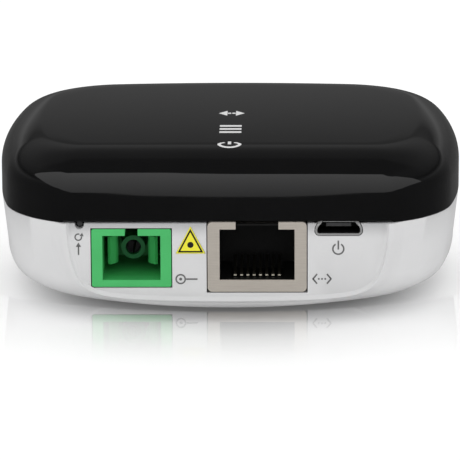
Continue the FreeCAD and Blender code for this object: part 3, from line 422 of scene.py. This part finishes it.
def stroke(pts, w):
    """Quads along a polyline with square joints."""
    out = []
    for (x0, z0), (x1, z1) in zip(pts[:-1], pts[1:]):
        dx, dz = x1 - x0, z1 - z0
        d = math.hypot(dx, dz)
        ux, uz = dx / d * w / 2, dz / d * w / 2
        out.append([(x0 - uz - ux * 0.6, z0 + ux - uz * 0.6), (x0 + uz - ux * 0.6, z0 - ux - uz * 0.6),
                    (x1 + uz + ux * 0.6, z1 - ux + uz * 0.6), (x1 - uz + ux * 0.6, z1 + ux + uz * 0.6)])
    return out


def disc(cx, cz, r, n=20):
    return [circle(cx, cz, r, n)]


def plate(name, polys, place_point, depth, mat, body="case"):
    """A thin printed or inlaid piece: each polygon gets a face, a back and side walls, all placed by a function."""
    bm = bmesh.new()
    cache = {}

    def vert(p, d):
        key = (round(p[0], 5), round(p[1], 5), d)
        if key not in cache:
            cache[key] = bm.verts.new(Vector(place_point(p[0], p[1], d)) * MM)
        return cache[key]

    edges = {}
    for poly in polys:
        front = [vert(p, 0.0) for p in poly]
        back = [vert(p, depth) for p in poly]
        try:
            bm.faces.new(front)
            bm.faces.new(back[::-1])
        except ValueError:
            continue
        for k in range(len(poly)):
            a, b = poly[k], poly[(k + 1) % len(poly)]
            ka, kb = (round(a[0], 5), round(a[1], 5)), (round(b[0], 5), round(b[1], 5))
            e = (min(ka, kb), max(ka, kb))
            edges.setdefault(e, []).append((front[k], front[(k + 1) % len(poly)], back[(k + 1) % len(poly)], back[k]))
    for e, quads in edges.items():
        if len(quads) == 1:
            q = quads[0]
            try:
                bm.faces.new((q[1], q[0], q[3], q[2]))
            except ValueError:
                pass
    bmesh.ops.recalc_face_normals(bm, faces=bm.faces)
    me = bpy.data.meshes.new(name)
    bm.to_mesh(me)
    bm.free()
    o = link(bpy.data.objects.new(name, me))
    me.materials.append(mat)
    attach(o, body)
    return o


def on_panel(x, z, d):
    return (x, FRONT - 0.03 + d, z)


def on_cover(x, y, d):
    return (x, y, skin_z(x, y - CY) + 0.03 - d)


def subdivide(polys, n=3):
    """Split quads across their second direction, so they follow the rounded edge."""
    out = []
    for p in polys:
        if len(p) != 4:
            out.append(p)
            continue
        a, b, c, d = [np.array(v) for v in p]
        for k in range(n):
            s0, s1 = k / n, (k + 1) / n
            out.append([tuple(a + (d - a) * s0), tuple(b + (c - b) * s0), tuple(b + (c - b) * s1), tuple(a + (d - a) * s1)])
    return out


IX = 0.24
# power glyph: a broken ring and its bar
py = -24.65
ga = math.radians(122)
power = ring_shape(0.0, 0.0, 1.40, 1.95, math.radians(90) + math.radians(28), math.radians(90) + math.radians(332), 72)
power += subdivide(bar(-0.27, 0.27, 0.1, 2.3), 8)
power = [[(IX + x, py + 0.35 + 0.86 * y) for x, y in p] for p in power]
win_power = plate("glyph_power", power, on_cover, 0.35, MAT["window_white"])
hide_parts("led_window_power")
# link glyph: three bars
by = -12.87
bars = []
for k in (-1, 0, 1):
    bars += bar(IX - 1.8, IX + 1.8, by + 2.34 * k - 0.56, by + 2.34 * k + 0.56, 2)
win_link = plate("glyph_link", bars, on_cover, 0.35, MAT["window_white"])
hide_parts("led_window_link")
# network glyph: two arrow heads and a thin shaft
ay = -0.56
lan = [[(IX - 2.15, ay), (IX - 0.72, ay - 1.85), (IX - 0.72, ay + 1.85)], [(IX + 2.15, ay), (IX + 0.72, ay + 1.85), (IX + 0.72, ay - 1.85)]]
lan += bar(IX - 0.66, IX - 0.09, ay - 0.40, ay + 0.40) + bar(IX + 0.09, IX + 0.66, ay - 0.40, ay + 0.40)
win_lan = plate("glyph_lan", lan, on_cover, 0.35, MAT["window_white"])
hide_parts("led_window_lan")

# ------------------------------------------------------------------ pieces: marks printed on the port side
px_, pz = 17.84, 12.29
marks = ring_shape(px_, pz, 0.76, 1.0, math.radians(90 + 30), math.radians(90 + 330), 60) + bar(px_ - 0.125, px_ + 0.125, pz - 0.1, pz + 1.38)
plate("mark_power", marks, on_panel, 0.06, MAT["ink_grey"])
cx_, cz_ = 15.22, 7.3
marks = stroke([(cx_ - 0.85, cz_ + 0.75), (cx_ - 1.45, cz_), (cx_ - 0.85, cz_ - 0.75)], 0.24)
marks += stroke([(cx_ + 0.85, cz_ + 0.75), (cx_ + 1.45, cz_), (cx_ + 0.85, cz_ - 0.75)], 0.24)
plate("mark_network", marks, on_panel, 0.06, MAT["ink_grey"])
plate("mark_network_dots", disc(cx_ - 0.52, cz_, 0.15) + disc(cx_, cz_, 0.15) + disc(cx_ + 0.52, cz_, 0.15), on_panel, 0.06, MAT["ink_grey"])
fx_, fz_ = -7.6, 7.27
marks = ring_shape(fx_, fz_, 0.62, 0.85, n=48) + stroke([(fx_ + 0.95, fz_), (-4.95, fz_)], 0.24)
plate("mark_fibre", marks, on_panel, 0.06, MAT["ink_grey"])
plate("mark_fibre_core", disc(fx_, fz_, 0.24), on_panel, 0.06, MAT["ink_grey"])
rx_, rz_ = -24.06, 14.25
marks = ring_shape(rx_, rz_, 0.42, 0.62, math.radians(70), math.radians(375), 48)
marks += [[(rx_ + 0.20, rz_ + 0.22), (rx_ + 0.86, rz_ + 0.14), (rx_ + 0.62, rz_ + 0.72)]]
plate("mark_reset_pin", bar(rx_ - 0.11, rx_ + 0.11, 11.3, 12.75) + [[(rx_ - 0.42, 12.65), (rx_ + 0.42, 12.65), (rx_, 13.35)]], on_panel, 0.06, MAT["ink_grey"])
plate("mark_reset", marks, on_panel, 0.06, MAT["ink_grey"])
# caution label: yellow triangle, black frame and a plain dot
tx, tz0, tz1, tw = -5.99, 11.55, 16.0, 2.33
tri = lambda k, r=0.0: [(tx - tw * k, tz0 + r), (tx + tw * k, tz0 + r), (tx, tz0 + r + (tz1 - tz0) * k)]
lab = plate("caution_triangle", [tri(1.0)], lambda x, z, d: (x, FRONT - 0.05 + d, z), 0.14, MAT["label_yellow"])
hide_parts("caution_label")
inc = (tx, tz0 + 1.41)
scaled = lambda k: [(inc[0] + (x - inc[0]) * k, inc[1] + (z - inc[1]) * k) for x, z in tri(1.0)]
o3, i3 = scaled(0.885), scaled(0.70)
frame3 = [[o3[k], o3[(k + 1) % 3], i3[(k + 1) % 3], i3[k]] for k in range(3)]
plate("caution_frame", frame3, lambda x, z, d: (x, FRONT - 0.065 + d, z), 0.02, MAT["ink_black"])
plate("caution_dot", disc(tx, tz0 + 1.42, 0.5, 28), lambda x, z, d: (x, FRONT - 0.065 + d, z), 0.02, MAT["ink_black"])

# ------------------------------------------------------------------ pieces: the white shell and the rim round its port side
RIM_H = 0.32
HALF_RIM = [(26.0, 16.5), (26.0, 14.7), (25.75, 12.3), (25.3, 9.9), (24.6, 7.8), (23.45, 6.05), (21.5, 4.85), (18.4, 4.28), (14.6, 3.98), (8.1, 3.74), (0.0, 3.66)]


def smooth_rows(a, rounds=3):
    for _ in range(rounds):
        c = a.copy()
        c[1:-1] = (a[:-2] + 2 * a[1:-1] + a[2:]) / 4
        a = c
    return a


def rim_path(n=241):
    pts = np.array(HALF_RIM + [(-x, z) for x, z in HALF_RIM[-2::-1]])
    d = np.concatenate([[0], np.cumsum(np.hypot(*np.diff(pts, axis=0).T))])
    t = np.linspace(0, d[-1], n)
    path = smooth_rows(np.column_stack([np.interp(t, d, pts[:, 0]), np.interp(t, d, pts[:, 1])]), 40)
    tang = np.gradient(path, axis=0)
    tang /= np.linalg.norm(tang, axis=1)[:, None]
    return path, np.column_stack([-tang[:, 1], tang[:, 0]])


path, side = rim_path()
if side[len(side) // 2][1] < 0:
    side = -side                      # square to the path, into the port side


def chamfer_angle(x):
    return math.radians(8 + 48 * min(max((22.0 - abs(x)) / 5.0, 0.0), 1.0))


# a wedge comes off the shell below the rim, where its underside turns in
wedge = []
for (x, z), (sx, sz) in zip(path, side):
    if abs(x) > 22.6:
        continue
    tn = math.tan(chamfer_angle(x))
    wedge.append([(x - sx * u, FRONT - v, z - sz * u) for u, v in [(0.17, 0.0), (0.17, 2.5), (6.0, 2.5), (6.0, -(6.0 - 0.17) * tn * 1.15), (1.4, -(1.4 - 0.17) * tn)]])
v, f = strip(wedge, close_last=True, close_first=True)
cutter = mesh_object("cutter", v, f, smooth=False)
shell = link(bpy.data.objects.new("shell_skin", NODES["bottom_shell"].data.copy()))
bm = bmesh.new()
bm.from_mesh(shell.data)
bmesh.ops.remove_doubles(bm, verts=bm.verts, dist=1e-6)
bm.to_mesh(shell.data)
bm.free()
mod = shell.modifiers.new("cut", "BOOLEAN")
mod.operation = "DIFFERENCE"
mod.solver = "EXACT"
mod.object = cutter
bpy.context.view_layer.update()
cut_me = bpy.data.meshes.new_from_object(shell.evaluated_get(bpy.context.evaluated_depsgraph_get()))
shell.modifiers.clear()
shell.data = cut_me
cut_me.name = "shell_skin"
bpy.data.objects.remove(cutter)
cut_me.materials.clear()
cut_me.materials.append(MAT["shell_white"])
for f_ in cut_me.polygons:
    f_.material_index = 0
    f_.use_smooth = True
cut_me.set_sharp_from_angle(angle=math.radians(28))
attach(shell, "case")
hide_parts("bottom_shell")

bm = bmesh.new()
bm.from_mesh(cut_me)
tree = BVHTree.FromBMesh(bm)
bm.free()


def skin_at(x, z):
    """Depth (y) of the shell's skin at a point of the front view."""
    hit = tree.ray_cast(Vector((x, FRONT - 8.0, z)) * MM, Vector((0, 1, 0)))
    return hit[0].y / MM if hit[0] else FRONT + 3.0


rim_rings = []
for (x, z), (sx, sz) in zip(path, side):
    at = lambda u, y: (x + sx * u, y, z + sz * u)
    low_part = abs(sz) ** 2
    w = 0.30 + 0.25 * low_part
    reach = 0.55 + 2.0 * (1 - low_part)
    zz = min(z, 16.3)
    y_end = skin_at(x - sx * reach, zz - sz * reach)
    y_in = skin_at(x - sx * (reach - 0.25), zz - sz * (reach - 0.25))
    slope = (y_end - y_in) / 0.25
    p0, p3 = np.array([0.0, FRONT - RIM_H]), np.array([-reach, y_end - 0.01])
    p1 = p0 + np.array([-0.36 * reach, 0.36 * reach * (0.75 * low_part + 0.10)])
    p2 = p3 + np.array([0.36 * reach, -0.36 * reach * slope])
    prof = [at(-reach - 0.10, y_end + 0.10 * slope + 0.16)]
    for t in np.linspace(1, 0, 11):
        q = (1 - t) ** 3 * p0 + 3 * (1 - t) ** 2 * t * p1 + 3 * (1 - t) * t * t * p2 + t ** 3 * p3
        prof.append(at(q[0], q[1]))
    # the far side of the rim leans back to the flat port side
    ext = 0.0
    for k in np.arange(0.1, 2.4, 0.1):
        if FRONT + 0.015 < skin_at(x + sx * k, zz + sz * k) < FRONT + 1.0:
            ext = k
        else:
            break
    far = max(w, ext) + 0.12
    prof += [at(0.04, FRONT - RIM_H + 0.004), at(w * 0.35, FRONT - RIM_H * 0.66), at(w * 0.7, FRONT - RIM_H * 0.26), at(w, FRONT - 0.02), at(w + 0.08, FRONT - 0.006)]
    prof += [at(far, FRONT - 0.004), at(far, FRONT + 0.12), at(-0.05, FRONT + 0.9 + 0.0 * far)]
    rim_rings.append(prof)
v, f = strip(rim_rings, close_last=True, close_first=True)
panel_rim = mesh_object("panel_rim", v, f, smooth=True, angle=24)
panel_rim.data.materials.append(MAT["shell_white"])
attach(panel_rim, "case")

# ------------------------------------------------------------------ pieces: the power port's metal shell
def usb_profile(grow, n=7):
    """Narrow side up, all corners rounded, counter-clockwise seen from the front."""
    w, lo, hi = 7.65 / 2 - grow, UZ + grow, UZ + 2.5 - grow
    r = max(0.75 - grow, 0.3)
    pts = []
    for a in np.linspace(-90, 0, n):
        pts.append((w - r + r * math.cos(math.radians(a)), lo + r + r * math.sin(math.radians(a))))
    for t in np.linspace(0.25, 1, n):
        x = w - 0.95 * t ** 2.2
        pts.append((x, lo + r + (hi - lo - r) * t))
    pts += [(-x, z) for x, z in pts[::-1]]
    return [(UX + x, z) for x, z in pts]


o_p, o_f, i_f, i_p = usb_profile(0.0), usb_profile(0.04), usb_profile(0.30), usb_profile(0.36)
UF = FRONT


def set_back(z):
    """The top of the shell starts behind the cover's face."""
    t = min(max((z - 16.45) / 0.3, 0.0), 1.0)
    return 0.55 * t * t * (3 - 2 * t)


rings_u = [[(x, UF + 5.6, z) for x, z in o_p], [(x, UF + 0.06 + set_back(z), z) for x, z in o_p], [(x, UF - 0.02 + set_back(z), z) for x, z in o_f],
           [(x, UF - 0.02 + set_back(z), z) for x, z in i_f], [(x, UF + 0.08 + set_back(z), z) for x, z in i_p], [(x, UF + 4.8, z) for x, z in i_p]]
v, f = strip(rings_u, close_last=True, close_first=True)
usb = mesh_object("power_port_shell", v, f, smooth=True, angle=35)
usb.data.materials.append(MAT["usb_metal"])
usb.data.materials.append(MAT["usb_black_and_painted_shade"])
nu = len(o_p)
# the back of the opening is dark plastic; the shell's inward-facing metal walls get the same near-black as painted
# shade
for p in usb.data.polygons:
    ys = [usb.data.vertices[k].co.y for k in p.vertices]
    inner_face = max(abs((usb.data.vertices[k].co.x / MM) - UX) for k in p.vertices)
    c = p.center
    if p.normal.y < -0.9 and c.y > (UF + 2) * MM:
        p.material_index = 1
    elif min(ys) > (UF + 0.03) * MM and p.normal.dot(Vector((c.x - UX * MM, 0, c.z - (UZ + 1.25) * MM))) < 0:
        p.material_index = 1
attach(usb, "case")
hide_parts("usb_shell")

# the case closes up to the rounded outline of the power port
inner_p = [q for q in usb_profile(-0.09, 14) if q[1] < ZP - 0.02]
mid_u = (UX, UZ + 1.1)
half_u, low_u = 7.65 / 2 + 0.135, UZ - 0.135


def to_hole(q):
    dx, dz = q[0] - mid_u[0], q[1] - mid_u[1]
    k = min(half_u / abs(dx) if abs(dx) > 1e-6 else 1e9, (low_u - mid_u[1]) / dz if dz < -1e-6 else 1e9)
    if dz > 0:
        return (mid_u[0] + math.copysign(half_u, dx), q[1])
    return (mid_u[0] + dx * k, mid_u[1] + dz * k)


inner_p = inner_p[len(inner_p) // 2:] + inner_p[:len(inner_p) // 2] if abs(inner_p[0][0] - inner_p[-1][0]) > 20 else inner_p
bez = []
for q0, q1 in zip(inner_p[:-1], inner_p[1:]):
    if abs(q0[0] - q1[0]) > 6.0 and q0[1] > UZ + 0.5:
        continue
    bez.append([q0, q1, to_hole(q1), to_hole(q0)])
if abs(inner_p[-1][1] - inner_p[0][1]) < 0.01 and inner_p[0][1] < UZ + 0.5:
    bez.append([inner_p[-1], inner_p[0], to_hole(inner_p[0]), to_hole(inner_p[-1])])
plate("power_port_bezel", bez, lambda x, z, d: (x, FRONT + 0.01 + d, z), 0.6, MAT["shell_white"])

# ------------------------------------------------------------------ stage, light
def patch(name, centre, radius, cols, mat_strength=1.0, steps=20):
    """A soft card bent round the object: columns of (azimuth from -Y towards +X, low elevation, high elevation, low glow, high glow)."""
    verts, faces, glow = [], [], []
    for az, lo, hi, g0, g1 in cols:
        for k in range(steps + 1):
            t = k / steps
            el = math.radians(lo + (hi - lo) * t)
            a = math.radians(az)
            verts.append((centre[0] + radius * math.cos(el) * math.sin(a), centre[1] - radius * math.cos(el) * math.cos(a), centre[2] + radius * math.sin(el)))
            glow.append(g0 + (g1 - g0) * t)
    for c in range(len(cols) - 1):
        for k in range(steps):
            a = c * (steps + 1) + k
            faces.append((a, a + 1, a + steps + 2, a + steps + 1))
    me = bpy.data.meshes.new(name)
    me.from_pydata(verts, [], faces)
    att = me.color_attributes.new("glow", "FLOAT_COLOR", "POINT")
    for k, g in enumerate(glow):
        att.data[k].color = (g, g, g, 1)
    o = link(bpy.data.objects.new(name, me))
    mt = bpy.data.materials.new(name)
    mt.use_nodes = True
    nt = mt.node_tree
    nt.nodes.clear()
    out = nt.nodes.new("ShaderNodeOutputMaterial")
    em = nt.nodes.new("ShaderNodeEmission")
    em.inputs["Strength"].default_value = mat_strength
    ca = nt.nodes.new("ShaderNodeVertexColor")
    ca.layer_name = "glow"
    nt.links.new(ca.outputs["Color"], em.inputs["Color"])
    nt.links.new(em.outputs["Emission"], out.inputs["Surface"])
    me.materials.append(mt)
    o.visible_camera = False
    o.visible_shadow = False
    o.visible_diffuse = False
    o.visible_transmission = False
    return o


HI, LO = 1.3, 0.62
front_cols = []
for az, lo, hi in [(-93.5, 18.2, 19.2), (-91.5, 16.8, 21.9), (-88.8, 15.8, 25.1), (-84.3, 14.5, 28.9), (-80, 12.9, 32.7), (-74, 10.4, 37.3), (-66, 6.7, 42.0),
                   (-58, 3.4, 44.5), (-40, 1.0, 47.5), (-25, -0.8, 49.0), (-14.5, -2.3, 49.8), (-8, -3.6, 50), (-3.6, -5.0, 50), (-3.3, -6.0, 49.7), (-3.0, -10.0, 49.0), (-2.75, -12.6, 48.0),
                   (-1.4, -12.9, 46.0), (0, -12.9, 46.0), (0.75, -12.6, 46.0), (1.1, -9.5, 46.0), (1.4, -6.0, 46.0), (1.9, -5.0, 45.5), (12, -4.2, 43.0), (23.3, -3.5, 40.2), (40, -2.5, 36.5),
                   (51, -1.5, 33.8), (59.3, 0.6, 31.6), (65.5, 3.0, 26.8), (71.7, 4.6, 22.1), (77.3, 5.2, 17.5), (82.6, 5.6, 10.9), (86.5, 5.5, 5.9)]:
    g_lo = HI + (LO - HI) * min(max((48 - lo) / 61.6, 0), 1)
    g_hi = HI + (LO - HI) * min(max((48 - hi) / 61.6, 0), 1)
    front_cols.append((az, lo, hi, g_lo, g_hi))
patch("softbox_front", (0.0, -0.030, 0.024), 2.5, front_cols)

POLISH_Z = 0.0036
floor_me = bpy.data.meshes.new("floor")
floor_me.from_pydata([(-8, -8, 0), (8, -8, 0), (8, 14, 0), (-8, 14, 0)], [], [(0, 1, 2, 3)])
floor = link(bpy.data.objects.new("floor", floor_me))
fm = bpy.data.materials.new("floor")
fm.use_nodes = True
nt = fm.node_tree
nt.nodes.clear()
out = nt.nodes.new("ShaderNodeOutputMaterial")
dif = nt.nodes.new("ShaderNodeBsdfDiffuse")
dif.inputs["Color"].default_value = (0.98, 0.98, 0.98, 1)
glow = nt.nodes.new("ShaderNodeEmission")
glow.inputs["Strength"].default_value = 0.10
add = nt.nodes.new("ShaderNodeAddShader")
tc = nt.nodes.new("ShaderNodeTexCoord")
squeeze = nt.nodes.new("ShaderNodeVectorMath")
squeeze.operation = "MULTIPLY"
squeeze.inputs[1].default_value = (1.0, 1.0, 0.0)
dist = nt.nodes.new("ShaderNodeVectorMath")
dist.operation = "LENGTH"
# painted shadow: on top of the lit shadow, the floor's colour and glow are darkened close round the case
shade = nt.nodes.new("ShaderNodeMapRange")
shade.interpolation_type = "SMOOTHSTEP"
shade.inputs["From Min"].default_value, shade.inputs["From Max"].default_value = 0.022, 0.042
shade.inputs["To Min"].default_value, shade.inputs["To Max"].default_value = 0.56, 0.98
nt.links.new(tc.outputs["Object"], squeeze.inputs[0])
nt.links.new(squeeze.outputs["Vector"], dist.inputs[0])
nt.links.new(dist.outputs["Value"], shade.inputs["Value"])
nt.links.new(shade.outputs["Result"], dif.inputs["Color"])
nt.links.new(shade.outputs["Result"], glow.inputs["Color"])
nt.links.new(dif.outputs["BSDF"], add.inputs[0])
nt.links.new(glow.outputs["Emission"], add.inputs[1])
geo = nt.nodes.new("ShaderNodeNewGeometry")
clear = nt.nodes.new("ShaderNodeBsdfTransparent")
sided = nt.nodes.new("ShaderNodeMixShader")
nt.links.new(geo.outputs["Backfacing"], sided.inputs["Fac"])
nt.links.new(add.outputs["Shader"], sided.inputs[1])
nt.links.new(clear.outputs["BSDF"], sided.inputs[2])
nt.links.new(sided.outputs["Shader"], out.inputs["Surface"])
floor_me.materials.append(fm)
floor.visible_glossy = False

# the polish of the floor: a clear layer with a faint mirror image that fades out away from the case
polish_me = bpy.data.meshes.new("floor_polish")
polish_me.from_pydata([(-0.12, -0.12, POLISH_Z), (0.12, -0.12, POLISH_Z), (0.12, 0.12, POLISH_Z), (-0.12, 0.12, POLISH_Z)], [], [(0, 1, 2, 3)])
polish = link(bpy.data.objects.new("floor_polish", polish_me))
pm = bpy.data.materials.new("floor_polish")
pm.use_nodes = True
nt = pm.node_tree
nt.nodes.clear()
out = nt.nodes.new("ShaderNodeOutputMaterial")
gl = nt.nodes.new("ShaderNodeBsdfGlossy")
gl.inputs["Roughness"].default_value = 0.0
gl.inputs["Color"].default_value = (1, 1, 1, 1)
mix = nt.nodes.new("ShaderNodeMixShader")
tc = nt.nodes.new("ShaderNodeTexCoord")
mr = nt.nodes.new("ShaderNodeMapRange")
mr.interpolation_type = "SMOOTHSTEP"
mr.inputs["From Min"].default_value, mr.inputs["From Max"].default_value = 0.040, 0.072
mr.inputs["To Min"].default_value, mr.inputs["To Max"].default_value = 0.26, 0.0
rise = nt.nodes.new("ShaderNodeMapRange")
rise.interpolation_type = "SMOOTHSTEP"
rise.inputs["From Min"].default_value, rise.inputs["From Max"].default_value = 0.0335, 0.0400
rise.inputs["To Min"].default_value, rise.inputs["To Max"].default_value = 1.0, 0.0
squeeze = nt.nodes.new("ShaderNodeVectorMath")
squeeze.operation = "MULTIPLY"
squeeze.inputs[1].default_value = (0.72, 1.0, 0.0)
dist = nt.nodes.new("ShaderNodeVectorMath")
dist.operation = "LENGTH"
geo = nt.nodes.new("ShaderNodeNewGeometry")
front_only = nt.nodes.new("ShaderNodeMath")
front_only.operation = "SUBTRACT"
front_only.use_clamp = True
clear = nt.nodes.new("ShaderNodeBsdfTransparent")
nt.links.new(tc.outputs["Object"], squeeze.inputs[0])
nt.links.new(squeeze.outputs["Vector"], dist.inputs[0])
nt.links.new(dist.outputs["Value"], mr.inputs["Value"])
nt.links.new(dist.outputs["Value"], rise.inputs["Value"])
hide = nt.nodes.new("ShaderNodeMath")
hide.operation = "MAXIMUM"
nt.links.new(rise.outputs["Result"], hide.inputs[0])
nt.links.new(geo.outputs["Backfacing"], hide.inputs[1])
nt.links.new(mr.outputs["Result"], front_only.inputs[0])
nt.links.new(hide.outputs["Value"], front_only.inputs[1])
nt.links.new(front_only.outputs["Value"], mix.inputs["Fac"])
nt.links.new(clear.outputs["BSDF"], mix.inputs[1])
nt.links.new(gl.outputs["BSDF"], mix.inputs[2])
nt.links.new(mix.outputs["Shader"], out.inputs["Surface"])
polish_me.materials.append(pm)
polish.visible_glossy = False
polish.visible_diffuse = False
polish.visible_shadow = False
polish.visible_transmission = False

# the room: an even white surround that lights everything; soft gloss sees a darker one, so black stays black
world = bpy.data.worlds.new("world")
scene.world = world
world.use_nodes = True
wn = world.node_tree
wn.nodes.clear()
wout = wn.nodes.new("ShaderNodeOutputWorld")
bright = wn.nodes.new("ShaderNodeBackground")
bright.inputs["Color"].default_value = (1, 1, 1, 1)
bright.inputs["Strength"].default_value = 1.0
dim_ = wn.nodes.new("ShaderNodeBackground")
dim_.inputs["Strength"].default_value = 1.0
wtc = wn.nodes.new("ShaderNodeTexCoord")
wsep = wn.nodes.new("ShaderNodeSeparateXYZ")
ramp = wn.nodes.new("ShaderNodeValToRGB")
wn.links.new(wtc.outputs["Generated"], wsep.inputs["Vector"])
wn.links.new(wsep.outputs["Z"], ramp.inputs["Fac"])
els = [(-0.2, 0.11), (0.10, 0.13), (0.160, 0.20), (0.185, 0.155), (0.21, 0.125), (0.235, 0.078), (0.255, 0.08), (0.32, 0.115), (0.45, 0.15), (0.60, 0.15), (0.72, 0.12), (0.85, 0.12)]
ramp.color_ramp.elements.remove(ramp.color_ramp.elements[1])
for k, (p, g) in enumerate(els):
    e = ramp.color_ramp.elements[0] if k == 0 else ramp.color_ramp.elements.new(max(p, 0))
    e.position = max(p, 0.0)
    e.color = (g, g, g, 1)
# behind the object the room is a little brighter overhead and darker near the horizon
ramp_b = wn.nodes.new("ShaderNodeValToRGB")
back = [(0.0, 0.10), (0.10, 0.14), (0.160, 0.225), (0.185, 0.165), (0.21, 0.118), (0.235, 0.064), (0.255, 0.070), (0.32, 0.13), (0.45, 0.18), (0.60, 0.205), (0.80, 0.175), (1.0, 0.175)]
ramp_b.color_ramp.elements.remove(ramp_b.color_ramp.elements[1])
for k, (p, g) in enumerate(back):
    e = ramp_b.color_ramp.elements[0] if k == 0 else ramp_b.color_ramp.elements.new(p)
    e.position = p
    e.color = (g, g, g, 1)
wn.links.new(wsep.outputs["Z"], ramp_b.inputs["Fac"])
behind = wn.nodes.new("ShaderNodeMapRange")
behind.interpolation_type = "SMOOTHSTEP"
behind.inputs["From Min"].default_value, behind.inputs["From Max"].default_value = -0.03, 0.16
behind.inputs["To Min"].default_value, behind.inputs["To Max"].default_value = 0.0, 1.0
wn.links.new(wsep.outputs["Y"], behind.inputs["Value"])
both = wn.nodes.new("ShaderNodeMix")
both.data_type = "RGBA"
wn.links.new(behind.outputs["Result"], both.inputs["Factor"])
wn.links.new(ramp.outputs["Color"], both.inputs["A"])
wn.links.new(ramp_b.outputs["Color"], both.inputs["B"])
wn.links.new(both.outputs["Result"], dim_.inputs["Color"])
lp = wn.nodes.new("ShaderNodeLightPath")
soft = wn.nodes.new("ShaderNodeMath")
soft.operation = "SUBTRACT"
soft.use_clamp = True
wn.links.new(lp.outputs["Is Glossy Ray"], soft.inputs[0])
wn.links.new(lp.outputs["Is Singular Ray"], soft.inputs[1])
mixw = wn.nodes.new("ShaderNodeMixShader")
wn.links.new(soft.outputs["Value"], mixw.inputs["Fac"])
wn.links.new(bright.outputs["Background"], mixw.inputs[1])
wn.links.new(dim_.outputs["Background"], mixw.inputs[2])
wn.links.new(mixw.outputs["Shader"], wout.inputs["Surface"])
